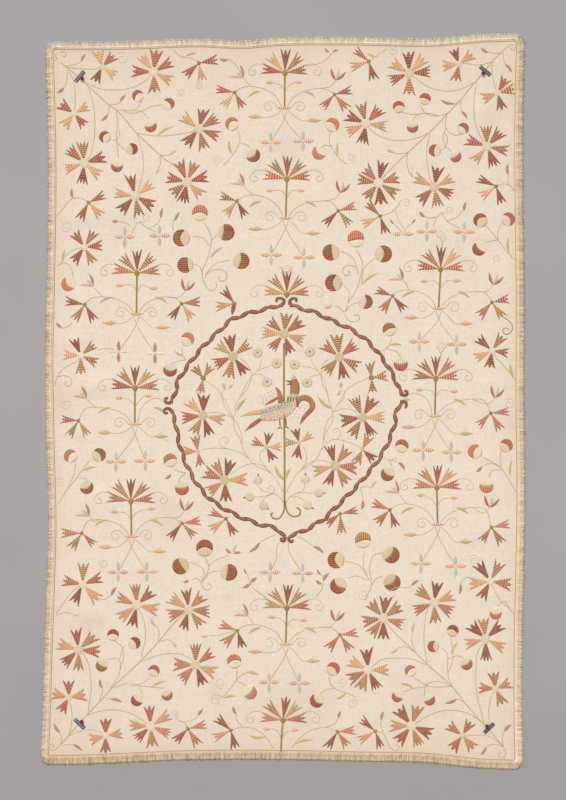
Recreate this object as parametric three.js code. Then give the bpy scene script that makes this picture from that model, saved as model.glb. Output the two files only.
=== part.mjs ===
// An embroidered linen bedspread lying flat, face up: one ground cloth with a few soft creases,
// a sewn-on fringe along each edge, and a woven tab with a round bead near each corner.
// Millimetres, +X to the right of the face, +Y to its head end, +Z up from the surface it lies on.
import * as THREE from 'three';

// Sheet sizes
const CLOTH_THICKNESS = 2;
const PIECE_GAP = 0.3;
const GRID_COLUMNS = 28;
const GRID_ROWS = 42;

// The cloth's four edges, clockwise from the top left corner; a side's last row is the next side's first
const TOP_EDGE = [
  { x: -783, y: 1198 },
  { x: -640, y: 1197 },
  { x: -485, y: 1200 },
  { x: -280, y: 1207 },
  { x: -128, y: 1201 },
  { x: -25, y: 1210 },
  { x: 230, y: 1213 },
  { x: 535, y: 1210 },
  { x: 688, y: 1223 },
  { x: 799, y: 1227 },
];
const RIGHT_EDGE = [
  { x: 799, y: 1227 },
  { x: 794, y: 1050 },
  { x: 793, y: 700 },
  { x: 797, y: 400 },
  { x: 797, y: -60 },
  { x: 800, y: -270 },
  { x: 797, y: -520 },
  { x: 790, y: -850 },
  { x: 790, y: -1080 },
  { x: 793, y: -1224 },
];
const BOTTOM_EDGE = [
  { x: 793, y: -1224 },
  { x: 688, y: -1220 },
  { x: 484, y: -1200 },
  { x: 280, y: -1196 },
  { x: -25, y: -1190 },
  { x: -385, y: -1193 },
  { x: -535, y: -1200 },
  { x: -740, y: -1207 },
  { x: -799, y: -1207 },
];
const LEFT_EDGE = [
  { x: -799, y: -1207 },
  { x: -793, y: -1085 },
  { x: -787, y: -880 },
  { x: -780, y: -680 },
  { x: -773, y: -420 },
  { x: -780, y: -110 },
  { x: -783, y: 140 },
  { x: -777, y: 445 },
  { x: -773, y: 750 },
  { x: -777, y: 1020 },
  { x: -783, y: 1198 },
];

// Each side with the radius of the corner it starts from, and how its fringe hangs
// reach is how far the locks stand out, ragged how much that varies, sway how far they lean along the edge
const SIDES = [
  { name: 'top', edge: TOP_EDGE, cells: GRID_COLUMNS, corner: 16, reach: 23.5, ragged: 3, sway: 3 },
  { name: 'right', edge: RIGHT_EDGE, cells: GRID_ROWS, corner: 18, reach: 22.5, ragged: 4, sway: 5 },
  { name: 'bottom', edge: BOTTOM_EDGE, cells: GRID_COLUMNS, corner: 10, reach: 24, ragged: 1.5, sway: 2 },
  { name: 'left', edge: LEFT_EDGE, cells: GRID_ROWS, corner: 10, reach: 23.5, ragged: 3, sway: 4 },
];

// Soft creases: middle, turn from +X in degrees, half length, half width, and lift above the surface
const CREASES = [
  { x: -635, y: 55, turn: 3, reach: 120, half: 62, lift: 5 },
  { x: -645, y: 345, turn: -4, reach: 110, half: 62, lift: 3.5 },
  { x: -640, y: -335, turn: 5, reach: 112, half: 62, lift: 4 },
  { x: -650, y: -730, turn: -3, reach: 108, half: 62, lift: 3 },
  { x: 668, y: 985, turn: 35, reach: 100, half: 62, lift: 3.5 },
  { x: 668, y: -440, turn: -6, reach: 105, half: 62, lift: 4 },
  { x: -60, y: 690, turn: 1, reach: 560, half: 75, lift: 2.5 },
  { x: 80, y: 460, turn: -2, reach: 480, half: 70, lift: 2 },
];

// Fringe: a sewn strip along the cloth's edge and two locks of yarn to each grid cell
const STRIP_WIDTH = 9;
const LOCK_GAP = 3;
const LOCKS_PER_CELL = 2;
const TIP_SHARE = 0.58;
const STRIP_THICKNESS = 2;
const TIP_THICKNESS = 1.2;

// Corner tabs: a bar of woven ribbon, with a bead beside it on the side of the cloth's middle
const TAB = { length: 46, width: 12.5, thickness: 1.2, notch: 1.5 };
const BEAD = { radius: 6.8, flat: 2.2, offset: 11.1, rings: 6, sides: 14 };
const TABS = [
  { name: 'top_left', x: -689, y: 1103, turn: 48.8, inward: -1 },
  { name: 'top_right', x: 689, y: 1122, turn: -40.4, inward: -1 },
  { name: 'bottom_right', x: 702, y: -1112, turn: 44.2, inward: 1 },
  { name: 'bottom_left', x: -690, y: -1097, turn: -43.4, inward: 1 },
];

const FINISHES = {
  linen: { color: '#e9d9bd', roughness: 0.95, metalness: 0 },
  fringe: { color: '#e4d2a8', roughness: 0.95, metalness: 0 },
  ribbon: { color: '#46606e', roughness: 0.8, metalness: 0 },
  silk: { color: '#7a1029', roughness: 0.55, metalness: 0 },
};

function mix(a, b, t) {
  return a + (b - a) * t;
}

// A repeatable uneven number from -1 to 1
function uneven(index, seed) {
  const value = Math.sin(index * 12.9898 + seed * 78.233) * 43758.5453;
  return 2 * (value - Math.floor(value)) - 1;
}

// How far the cloth lifts off the surface at a point
function lift(x, y) {
  let height = 0;
  for (const crease of CREASES) {
    const turn = THREE.MathUtils.degToRad(crease.turn);
    const dx = x - crease.x;
    const dy = y - crease.y;
    const along = (dx * Math.cos(turn) + dy * Math.sin(turn)) / crease.reach;
    const across = (dy * Math.cos(turn) - dx * Math.sin(turn)) / crease.half;
    if (Math.abs(along) < 1 && Math.abs(across) < 1) {
      const swell = Math.cos((along * Math.PI) / 2) * Math.cos((across * Math.PI) / 2);
      height += crease.lift * swell * swell;
    }
  }
  return height;
}

// Rounding of the corner between two sides: where it leaves each side, and its middle
function cornerRound(before, after, radius) {
  const tip = new THREE.Vector3(after[0].x, after[0].y, 0);
  const last = before[before.length - 2];
  const next = after[1];
  const leave = new THREE.Vector3(last.x, last.y, 0).sub(tip).setLength(radius).add(tip);
  const join = new THREE.Vector3(next.x, next.y, 0).sub(tip).setLength(radius).add(tip);
  const middle = leave.clone().add(join).add(tip).add(tip).multiplyScalar(1 / 4);
  return { tip, leave, join, middle };
}

function halfway(a, b) {
  return a.clone().add(b).multiplyScalar(1 / 2);
}

// A side's smooth edge, from the middle of one rounded corner to the middle of the next
function sidePath(index) {
  const side = SIDES[index];
  const before = SIDES[(index + 3) % 4];
  const after = SIDES[(index + 1) % 4];
  const start = cornerRound(before.edge, side.edge, side.corner);
  const end = cornerRound(side.edge, after.edge, after.corner);
  const inner = side.edge.slice(1, -1).map((row) => new THREE.Vector3(row.x, row.y, 0));
  const path = new THREE.CurvePath();
  path.add(new THREE.QuadraticBezierCurve3(start.middle, halfway(start.tip, start.join), start.join));
  path.add(new THREE.CatmullRomCurve3([start.join, ...inner, end.leave], false, 'centripetal'));
  path.add(new THREE.QuadraticBezierCurve3(end.leave, halfway(end.leave, end.tip), end.middle));
  return path;
}

// Points along a side: one to each grid line, with a short step round each half corner
function sideStations(index) {
  const path = sidePath(index);
  const { cells, corner } = SIDES[index];
  const endCorner = SIDES[(index + 1) % 4].corner;
  const length = path.getLength();
  const first = (corner * 0.9) / length;
  const last = 1 - (endCorner * 0.9) / length;
  const shares = [0];
  for (let i = 0; i <= cells; i += 1) {
    shares.push(mix(first, last, i / cells));
  }
  shares.push(1);
  return shares.map((share) => {
    const point = path.getPoint(share);
    const tangent = path.getTangent(share);
    return {
      x: point.x,
      y: point.y,
      tx: tangent.x,
      ty: tangent.y,
      nx: -tangent.y,
      ny: tangent.x,
    };
  });
}

// A thin closed solid from flat triangles: each point has a height for its lower and its upper face
function slab(points, triangles) {
  const count = points.length;
  const positions = [];
  points.forEach((point) => positions.push(point.x, point.y, point.high));
  points.forEach((point) => positions.push(point.x, point.y, point.low));
  const faces = [];
  const rim = new Map();
  for (const [a, b, c] of triangles) {
    faces.push(a, b, c, a + count, c + count, b + count);
    for (const [from, to] of [[a, b], [b, c], [c, a]]) {
      if (!rim.delete(`${to}:${from}`)) {
        rim.set(`${from}:${to}`, [from, to]);
      }
    }
  }
  for (const [from, to] of rim.values()) {
    faces.push(from + count, to + count, to, from + count, to, from);
  }
  const geometry = new THREE.BufferGeometry();
  geometry.setAttribute('position', new THREE.Float32BufferAttribute(positions, 3));
  geometry.setIndex(faces);
  return geometry;
}

// The ground cloth: a grid blended between its four edges
function groundCloth(stations) {
  const [top, right, bottom, left] = stations;
  const columns = top.length - 1;
  const rows = left.length - 1;
  const points = [];
  for (let j = 0; j <= rows; j += 1) {
    for (let i = 0; i <= columns; i += 1) {
      const u = i / columns;
      const v = j / rows;
      const foot = bottom[columns - i];
      const head = top[i];
      const west = left[j];
      const east = right[rows - j];
      const blend = (key) =>
        mix(foot[key], head[key], v) +
        mix(west[key], east[key], u) -
        mix(mix(bottom[columns][key], bottom[0][key], u), mix(top[0][key], top[columns][key], u), v);
      const x = blend('x');
      const y = blend('y');
      const low = lift(x, y);
      points.push({ x, y, low, high: low + CLOTH_THICKNESS });
    }
  }
  const triangles = [];
  for (let j = 0; j < rows; j += 1) {
    for (let i = 0; i < columns; i += 1) {
      const a = j * (columns + 1) + i;
      const b = a + 1;
      const d = a + columns + 1;
      const c = d + 1;
      if ((i + j) % 2) {
        triangles.push([a, b, c], [a, c, d]);
      } else {
        triangles.push([a, b, d], [b, c, d]);
      }
    }
  }
  return slab(points, triangles);
}

// A point stepped out from the cloth's edge, and along it
function beside(station, out, along) {
  return {
    x: station.x + station.nx * out + station.tx * along,
    y: station.y + station.ny * out + station.ty * along,
  };
}

function between(a, b, t) {
  const station = {};
  for (const key of Object.keys(a)) {
    station[key] = mix(a[key], b[key], t);
  }
  return station;
}

// The places where a fringe's locks meet: every grid line, and the middle of each full cell
function lockStations(edge) {
  const places = [edge[0]];
  for (let i = 1; i < edge.length; i += 1) {
    const corner = i === 1 || i === edge.length - 1;
    const parts = corner ? 1 : LOCKS_PER_CELL;
    for (let k = 1; k <= parts; k += 1) {
      places.push(between(edge[i - 1], edge[i], k / parts));
    }
  }
  return places;
}

// One side's fringe: a strip 0.3 mm off the cloth's edge, and tapered locks fused to it at their roots
function fringe(side, seed, edge) {
  const places = lockStations(edge);
  const locks = places.length - 1;
  const points = [];
  const add = (place, high) => points.push({ ...place, low: 0, high }) - 1;
  const inner = places.map((place, i) => {
    const ends = { 0: PIECE_GAP / 2, [locks]: -PIECE_GAP / 2 };
    return add(beside(place, PIECE_GAP, ends[i] ?? 0), STRIP_THICKNESS);
  });
  const triangles = [];
  let lastRoot = null;
  for (let i = 0; i < locks; i += 1) {
    const from = places[i];
    const to = places[i + 1];
    const rootFrom = add(beside(from, STRIP_WIDTH, LOCK_GAP / 2), STRIP_THICKNESS);
    const rootTo = add(beside(to, STRIP_WIDTH, -LOCK_GAP / 2), STRIP_THICKNESS);
    const reach = side.reach + side.ragged * uneven(i, seed);
    const sway = side.sway * (0.6 * Math.sin(i * 0.7 + seed) + 0.4 * uneven(i, seed + 9));
    const narrow = (1 - TIP_SHARE * (1 + 0.15 * uneven(i, seed + 5))) / 2;
    const tipFrom = add(beside(between(from, to, narrow), reach, sway), TIP_THICKNESS);
    const tipTo = add(beside(between(from, to, 1 - narrow), reach, sway), TIP_THICKNESS);
    triangles.push([inner[i], inner[i + 1], rootTo], [inner[i], rootTo, rootFrom]);
    triangles.push([rootFrom, rootTo, tipTo], [rootFrom, tipTo, tipFrom]);
    if (lastRoot !== null) {
      triangles.push([inner[i], rootFrom, lastRoot]);
    }
    lastRoot = rootTo;
  }
  return slab(points, triangles);
}

// A corner tab's bar of ribbon, its ends cut to a shallow notch
function tabBar() {
  const halfLength = TAB.length / 2;
  const halfWidth = TAB.width / 2;
  const outline = new THREE.Shape();
  outline.moveTo(-halfLength, -halfWidth);
  outline.lineTo(halfLength, -halfWidth);
  outline.lineTo(halfLength - TAB.notch, 0);
  outline.lineTo(halfLength, halfWidth);
  outline.lineTo(-halfLength, halfWidth);
  outline.lineTo(-halfLength + TAB.notch, 0);
  return new THREE.ExtrudeGeometry(outline, { depth: TAB.thickness, bevelEnabled: false });
}

// A round bead with a small flat spot underneath
function bead() {
  const start = Math.asin(BEAD.flat / BEAD.radius);
  const height = BEAD.radius * Math.cos(start);
  const profile = [new THREE.Vector2(0, 0)];
  for (let k = 0; k < BEAD.rings; k += 1) {
    const angle = mix(start, Math.PI, k / BEAD.rings);
    profile.push(new THREE.Vector2(BEAD.radius * Math.sin(angle), height - BEAD.radius * Math.cos(angle)));
  }
  profile.push(new THREE.Vector2(0, height + BEAD.radius));
  return new THREE.LatheGeometry(profile, BEAD.sides).rotateX(Math.PI / 2);
}

function piece(name, geometry, finish) {
  const mesh = new THREE.Mesh(geometry, new THREE.MeshStandardMaterial(FINISHES[finish]));
  mesh.name = name;
  return mesh;
}

// A tab and its bead, laid on the cloth and turned square to the corner's diagonal
function cornerTab(row) {
  const tab = new THREE.Group();
  tab.position.set(row.x, row.y, CLOTH_THICKNESS + PIECE_GAP);
  tab.rotation.z = THREE.MathUtils.degToRad(row.turn);
  tab.add(piece(`corner_tab_${row.name}`, tabBar(), 'ribbon'));
  const round = piece(`corner_bead_${row.name}`, bead(), 'silk');
  round.position.y = row.inward * BEAD.offset;
  tab.add(round);
  return tab;
}

const bedspread = new THREE.Group();
const edges = SIDES.map((side, index) => sideStations(index));
bedspread.add(piece('ground_cloth', groundCloth(edges), 'linen'));
SIDES.forEach((side, index) => {
  bedspread.add(piece(`fringe_${side.name}`, fringe(side, index + 1, edges[index]), 'fringe'));
});
TABS.forEach((row) => bedspread.add(cornerTab(row)));

// The origin is the middle of the whole thing, on the surface it lies on
const extent = new THREE.Box3().setFromObject(bedspread);
const middle = extent.getCenter(new THREE.Vector3());
bedspread.position.set(-middle.x, -middle.y, -extent.min.z);

export default bedspread;
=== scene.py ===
# %% [markdown]
# # An embroidered linen bedspread
# The real thing is one sheet of cream linen, worked all over in silk with carnations, berries and a
# wreath, and edged with a short fringe. It lies flat and is seen from straight above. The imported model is
# loaded first, because every piece made here has to lie where its solid lies.

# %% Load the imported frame
import math
from collections import namedtuple
import bmesh
import bpy
import numpy as np
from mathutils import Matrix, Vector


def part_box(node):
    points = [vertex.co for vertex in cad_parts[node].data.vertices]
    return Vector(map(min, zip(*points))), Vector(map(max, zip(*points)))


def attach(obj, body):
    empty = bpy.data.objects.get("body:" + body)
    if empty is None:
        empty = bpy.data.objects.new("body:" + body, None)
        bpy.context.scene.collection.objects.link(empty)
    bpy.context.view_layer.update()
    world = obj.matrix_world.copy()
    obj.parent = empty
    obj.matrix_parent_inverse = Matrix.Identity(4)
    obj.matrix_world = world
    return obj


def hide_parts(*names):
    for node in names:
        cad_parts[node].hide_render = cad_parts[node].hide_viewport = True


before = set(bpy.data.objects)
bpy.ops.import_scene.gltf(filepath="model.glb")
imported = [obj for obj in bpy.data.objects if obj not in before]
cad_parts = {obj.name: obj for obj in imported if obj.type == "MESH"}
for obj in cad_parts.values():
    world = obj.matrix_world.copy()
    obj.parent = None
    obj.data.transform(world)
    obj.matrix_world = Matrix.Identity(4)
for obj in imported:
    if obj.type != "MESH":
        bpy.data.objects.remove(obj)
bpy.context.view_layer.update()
MM = 0.001
print("solids:", len(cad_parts))

# %% [markdown]
# ## Where things lie
# The motifs are placed by the pixel where they sit in a view from straight above, and one pixel is 3.4 mm
# of cloth. Sizes stay in millimetres, so a petal is as long as a real one whatever the picture's size.

# %% Photo places
PIXEL_MM = 3.4
PHOTO_MIDDLE = (282.5, 401.0)
VIEW_MIDDLE = (283.0, 400.0)
VIEW_HEIGHT_PIXELS = 800


def lengthwise(points):
    """How far along a path each of its points lies."""
    steps = np.hypot(*np.diff(points, axis=0).T)
    return np.concatenate([[0.0], np.cumsum(steps)])


def smooth(points, step):
    """A soft curve through a few points, in rows about one step apart."""
    points = np.asarray(points, float)
    run = lengthwise(points)
    slopes = np.gradient(points, run, axis=0)
    count = max(3, int(run[-1] / step) + 1)
    at = np.linspace(0.0, run[-1], count)
    k = np.clip(np.searchsorted(run, at, side="right") - 1, 0, len(run) - 2)
    gap = (run[k + 1] - run[k])[:, None]
    t = (at - run[k])[:, None] / gap
    start = (1 + 2 * t) * (1 - t) ** 2 * points[k] + t * (1 - t) ** 2 * gap * slopes[k]
    end = t * t * (3 - 2 * t) * points[k + 1] - t * t * (1 - t) * gap * slopes[k + 1]
    return start + end


def leftward(points):
    """Unit normals to the left of a path."""
    along = np.gradient(points, axis=0)
    along /= np.hypot(*along.T)[:, None]
    return np.stack([-along[:, 1], along[:, 0]], axis=1)


def heading(degrees):
    """Unit vectors at angles turned from +X."""
    turn = np.radians(degrees)
    return np.stack([np.cos(turn), np.sin(turn)], axis=-1)


def at_run(values, run, at):
    """What a path's rows of two values come to at places along it."""
    return np.stack([np.interp(at, run, values[:, 0]), np.interp(at, run, values[:, 1])], axis=1)


def lines_of(text):
    """The rows of a table in text, one to a line."""
    return text.strip().splitlines()


def rows_of(kind, text):
    """A table of numbers in text, as named rows."""
    return [kind(*map(float, line.split())) for line in lines_of(text)]


def all_lines(tables):
    """The rows of several named tables in text."""
    return [line for text in tables.values() for line in lines_of(text)]


# %% [markdown]
# ## The cloth's outline
# Hand-cut linen is never square: each edge wanders by a centimetre or so, and the corners are a little
# round. The four edges are short tables in millimetres, the same ones that the solid was built from, with
# a smooth curve through each. A plain rectangle would be quicker and would look like cardboard.

# %% Edge tables
TOP_EDGE = [(-783, 1198), (-640, 1197), (-485, 1200), (-280, 1207), (-128, 1201), (-25, 1210), (230, 1213),
            (535, 1210), (688, 1223), (799, 1227)]
RIGHT_EDGE = [(799, 1227), (794, 1050), (793, 700), (797, 400), (797, -60), (800, -270), (797, -520),
              (790, -850), (790, -1080), (793, -1224)]
BOTTOM_EDGE = [(793, -1224), (688, -1220), (484, -1200), (280, -1196), (-25, -1190), (-385, -1193),
               (-535, -1200), (-740, -1207), (-799, -1207)]
LEFT_EDGE = [(-799, -1207), (-793, -1085), (-787, -880), (-780, -680), (-773, -420), (-780, -110),
             (-783, 140), (-777, 445), (-773, 750), (-777, 1020), (-783, 1198)]
Side = namedtuple("Side", "name edge corner")
SIDES = [Side("top", TOP_EDGE, 16), Side("right", RIGHT_EDGE, 18),
         Side("bottom", BOTTOM_EDGE, 10), Side("left", LEFT_EDGE, 10)]


def toward(tip, other, distance):
    step = np.subtract(other, tip)
    return np.asarray(tip) + step * distance / np.hypot(*step)


def corner_round(before, after, radius):
    """Where a rounded corner leaves each side, and its middle."""
    tip = np.asarray(after[0], float)
    leave = toward(tip, before[-2], radius)
    join = toward(tip, after[1], radius)
    return tip, leave, join, (leave + join + 2 * tip) / 4


def bend(a, b, c):
    """A short curve from a to c, pulled towards b."""
    t = np.linspace(0, 1, 7)[:, None]
    return (1 - t) ** 2 * a + 2 * t * (1 - t) * b + t * t * c


def side_path(index):
    side = SIDES[index]
    before = SIDES[index - 1]
    after = SIDES[(index + 1) % 4]
    tip, _, join, middle = corner_round(before.edge, side.edge, side.corner)
    end_tip, end_leave, _, end_middle = corner_round(side.edge, after.edge, after.corner)
    run = smooth([join, *side.edge[1:-1], end_leave], 8.0)
    first = bend(middle, (tip + join) / 2, join)
    last = bend(end_leave, (end_leave + end_tip) / 2, end_middle)
    return np.concatenate([first[:-1], run, last[1:]])


paths = [side_path(index) for index in range(4)]
outline = np.concatenate(paths)
cloth_low, cloth_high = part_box("ground_cloth")
cloth_middle = np.array([cloth_low[0] + cloth_high[0], cloth_low[1] + cloth_high[1]]) / 2 / MM
SHIFT = cloth_middle - (outline.min(axis=0) + outline.max(axis=0)) / 2
paths = [path + SHIFT for path in paths]
print("outline moved to the solid by", SHIFT.round(2), "mm")


def place(px, py):
    """A pixel of the view from above, in millimetres on the cloth."""
    return np.array([(px - PHOTO_MIDDLE[0]) * PIXEL_MM, (PHOTO_MIDDLE[1] - py) * PIXEL_MM]) + SHIFT


# %% [markdown]
# ## Camera, floor and light
# The cloth is photographed from above, so the camera looks straight down through a long lens. The floor
# is a pale grey board. A broad sun, high and a little towards the head end, keeps the light even from
# end to end and still gives each stitch a soft shade.

# %% Camera
LENS_MM = 85.0
SENSOR_MM = 36.0
FAR_CLIP_M = 60.0
scene = bpy.context.scene
view_height = VIEW_HEIGHT_PIXELS * PIXEL_MM * MM
camera_data = bpy.data.cameras.new("camera")
camera_data.lens = LENS_MM
camera_data.sensor_fit = "VERTICAL"
camera_data.sensor_height = SENSOR_MM
camera_data.clip_end = FAR_CLIP_M
camera = bpy.data.objects.new("camera", camera_data)
scene.collection.objects.link(camera)
camera.location = (*(place(*VIEW_MIDDLE) * MM), view_height * LENS_MM / SENSOR_MM)
scene.camera = camera
print("camera height", round(camera.location.z, 2), "m")

# %% Floor and light
FLOOR_SIZE_M = 14.0
FLOOR_DROP_M = 0.0004
SUN_STRENGTH = 2.35
SUN_SPREAD = math.radians(28)
SUN_TILT = (math.radians(-38), math.radians(-16), 0)
SUN_TINT = (1.0, 0.985, 0.965)
ROOM_STRENGTH = 0.44
ROOM_TINT = (0.97, 0.98, 1.0, 1)
bpy.ops.object.select_all(action="DESELECT")
bpy.ops.mesh.primitive_plane_add(size=FLOOR_SIZE_M, location=(0, 0, -FLOOR_DROP_M))
floor = bpy.context.object
floor.name = "floor_board"
sun_data = bpy.data.lights.new("window_light", "SUN")
sun_data.energy = SUN_STRENGTH
sun_data.angle = SUN_SPREAD
sun_data.color = SUN_TINT
sun = bpy.data.objects.new("window_light", sun_data)
sun.rotation_euler = SUN_TILT
scene.collection.objects.link(sun)
world = bpy.data.worlds.new("room")
world.use_nodes = True
sky = world.node_tree.nodes["Background"].inputs
sky["Color"].default_value = ROOM_TINT
sky["Strength"].default_value = ROOM_STRENGTH
scene.world = world
scene.view_settings.view_transform = "Standard"
scene.view_settings.look = "None"
print("sun strength", SUN_STRENGTH)

# %% [markdown]
# ## Shader groups
# Three effects are node groups that put out heights and masks: thread lying side by side, a plain weave,
# and the uneven tone of old cloth. The threads and the uneven tone come back in several finishes, so one
# change alters every finish that uses them; the plain weave serves the linen alone.

# %% Helpers for nodes


def linear(red, green, blue):
    """A colour given in 0 to 255, as the light that a shader needs."""
    values = np.array([red, green, blue]) / 255
    return np.where(values < 0.04045, values / 12.92, ((values + 0.055) / 1.055) ** 2.4)


def rgba(red, green, blue):
    return (*linear(red, green, blue), 1.0)


def add(tree, kind, inputs=None, **settings):
    """A node with its settings, and its inputs given as values or as sockets to link."""
    node = tree.nodes.new(kind)
    for name, value in settings.items():
        setattr(node, name, value)
    for key, value in (inputs or {}).items():
        if isinstance(value, bpy.types.NodeSocket):
            tree.links.new(value, node.inputs[key])
        else:
            node.inputs[key].default_value = value
    return node


def calc(tree, operation, *values):
    return add(tree, "ShaderNodeMath", dict(enumerate(values)), operation=operation).outputs[0]


def remap(tree, value, low, high, to_low=0.0, to_high=1.0):
    """A value stretched from one span to another and held at the ends."""
    return add(tree, "ShaderNodeMapRange", dict(enumerate((value, low, high, to_low, to_high)))).outputs[0]


def noise(tree, vector, scale, detail, roughness=0.5):
    inputs = {"Vector": vector, "Scale": scale, "Detail": detail, "Roughness": roughness}
    return add(tree, "ShaderNodeTexNoise", inputs).outputs[0]


def stretch(tree, vector, scale):
    return add(tree, "ShaderNodeMapping", {"Vector": vector, "Scale": scale}).outputs[0]


def part_of(tree, vector, axis):
    return add(tree, "ShaderNodeSeparateXYZ", {0: vector}).outputs[axis]


def carried(tree, name, output):
    """A value that each point of the mesh carries."""
    return add(tree, "ShaderNodeAttribute", attribute_name=name).outputs[output]


def new_group(name, inputs, outputs):
    tree = bpy.data.node_groups.new(name, "ShaderNodeTree")
    for socket, kind in inputs.items():
        tree.interface.new_socket(socket, in_out="INPUT", socket_type=kind)
    for socket in outputs:
        tree.interface.new_socket(socket, in_out="OUTPUT", socket_type="NodeSocketFloat")
    return tree, tree.nodes.new("NodeGroupInput").outputs, tree.nodes.new("NodeGroupOutput").inputs


# %% Threads lying side by side
VECTOR = "NodeSocketVector"
FLOAT = "NodeSocketFloat"
WAVER_SCALE = 160.0
WAVER_TURNS = 1.3
STRAND_STRETCH = (25.0, 420.0, 1.0)
tree, given, out = new_group("laid_threads", {"Vector": VECTOR, "Pitch": FLOAT}, ["Height", "Tone"])
waver = noise(tree, given["Vector"], WAVER_SCALE, 2.0)
turns = calc(tree, "DIVIDE", part_of(tree, given["Vector"], "Y"), given["Pitch"])
turns = calc(tree, "MULTIPLY_ADD", waver, WAVER_TURNS, turns)
ridge = calc(tree, "ABSOLUTE", calc(tree, "SINE", calc(tree, "MULTIPLY", turns, math.pi)))
tree.links.new(ridge, out["Height"])
strand = noise(tree, stretch(tree, given["Vector"], STRAND_STRETCH), 1.0, 2.0)
tree.links.new(strand, out["Tone"])
thread_group = tree

# %% A plain weave
SLUB_STRETCHES = ((7.0, 330.0, 1.0), (330.0, 7.0, 1.0))
tree, given, out = new_group("plain_weave", {"Vector": VECTOR, "Pitch": FLOAT}, ["Height", "Slub"])
waves = []
for axis in ("X", "Y"):
    turns = calc(tree, "DIVIDE", part_of(tree, given["Vector"], axis), given["Pitch"])
    waves.append(calc(tree, "SINE", calc(tree, "MULTIPLY", turns, math.pi)))
over = calc(tree, "GREATER_THAN", calc(tree, "MULTIPLY", *waves), 0.0)
warp, weft = [calc(tree, "ABSOLUTE", wave) for wave in waves]
height = add(tree, "ShaderNodeMix", {0: over, 2: warp, 3: weft}).outputs[0]
tree.links.new(height, out["Height"])
slubs = [noise(tree, stretch(tree, given["Vector"], scale), 1.0, 3.0) for scale in SLUB_STRETCHES]
tree.links.new(calc(tree, "MULTIPLY", calc(tree, "ADD", *slubs), 0.5), out["Slub"])
weave_group = tree

# %% Uneven tone of old cloth
CLOUD_SPAN = (0.36, 0.66)
tree, given, out = new_group("old_tone", {"Vector": VECTOR, "Size": FLOAT}, ["Mask"])
cloud = noise(tree, given["Vector"], given["Size"], 4.0, 0.6)
tree.links.new(remap(tree, cloud, *CLOUD_SPAN), out["Mask"])
tone_group = tree
print("groups:", thread_group.name, weave_group.name, tone_group.name)

# %% [markdown]
# ## Finishes
# Silk thread takes its colour from the stitches themselves, which carry a tint at each point, so one
# finish serves every motif. The linen carries a mask of its stains and of a darkening towards its edges at
# each point in the same way. Fine relief comes from a Bump node, and the larger relief is in the meshes.

# %% Helpers for finishes
SHEEN_ROUGHNESS = 0.5
SPECULAR_LEVEL = 0.25


def new_finish(name, roughness, sheen):
    finish = bpy.data.materials.new(name)
    finish.use_nodes = True
    shader = finish.node_tree.nodes["Principled BSDF"]
    shader.inputs["Roughness"].default_value = roughness
    shader.inputs["Sheen Weight"].default_value = sheen
    shader.inputs["Sheen Roughness"].default_value = SHEEN_ROUGHNESS
    shader.inputs["Specular IOR Level"].default_value = SPECULAR_LEVEL
    return finish, finish.node_tree, shader


def use_group(tree, group, **inputs):
    return add(tree, "ShaderNodeGroup", inputs, node_tree=group).outputs


def blend(tree, share, first, second, kind="MIX"):
    inputs = {0: share, 6: first, 7: second}
    return add(tree, "ShaderNodeMix", inputs, data_type="RGBA", blend_type=kind).outputs[2]


def bump(tree, shader, height, distance, strength):
    node = add(tree, "ShaderNodeBump", {"Height": height, "Distance": distance, "Strength": strength})
    tree.links.new(node.outputs[0], shader.inputs["Normal"])


# %% Linen
LINEN = (246, 231, 211)
LINEN_SHADE = (238, 221, 196)
LINEN_STAIN_AND_EDGE_DARKENING = (218, 192, 158)
WEAVE_PITCH_M = 0.0011
TONE_SIZES = (5.5, 85.0, 230.0)
BROAD_SHARE = 0.35
MOTTLE_SHARE = 0.7
GRAIN_SHARE = 0.8
CLEAN_SHARE = 0.4
SLUB_SPAN = (0.35, 0.65)
SLUB_TONES = (0.955, 1.045)
WEAVE_DEPTH_M = 0.0004
linen, tree, shader = new_finish("cream_linen", 0.95, 0.15)
spot = add(tree, "ShaderNodeTexCoord").outputs["Object"]
weave = use_group(tree, weave_group, Vector=spot, Pitch=WEAVE_PITCH_M)
broad, mottle, grain = [use_group(tree, tone_group, Vector=spot, Size=size)["Mask"] for size in TONE_SIZES]
share = calc(tree, "MULTIPLY_ADD", mottle, MOTTLE_SHARE, calc(tree, "MULTIPLY", broad, BROAD_SHARE))
share = calc(tree, "MULTIPLY_ADD", grain, GRAIN_SHARE, calc(tree, "SUBTRACT", share, CLEAN_SHARE))
colour = blend(tree, share, rgba(*LINEN), rgba(*LINEN_SHADE))
colour = blend(tree, carried(tree, "stain", "Fac"), colour, rgba(*LINEN_STAIN_AND_EDGE_DARKENING))
slub = remap(tree, weave["Slub"], *SLUB_SPAN, *SLUB_TONES)
tree.links.new(blend(tree, 1.0, colour, slub, "MULTIPLY"), shader.inputs["Base Color"])
bump(tree, shader, weave["Height"], WEAVE_DEPTH_M, 0.5)

# %% Silk thread, plain and in bands
BAND_PITCH_M = 0.0068
BAND_SPAN = (0.1, 0.8)
WORN_SPAN = (0.35, 0.6)
WORN_BAND = 0.45
SILK_SHEEN = 0.08
STRAND_SPAN = (0.3, 0.7)
STRAND_TONES = (0.86, 1.12)
OLD_SILK_SIZE = 55.0
OLD_SILK_SHARE = 0.1
THREAD_DEPTH_M = 0.0005


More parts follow.
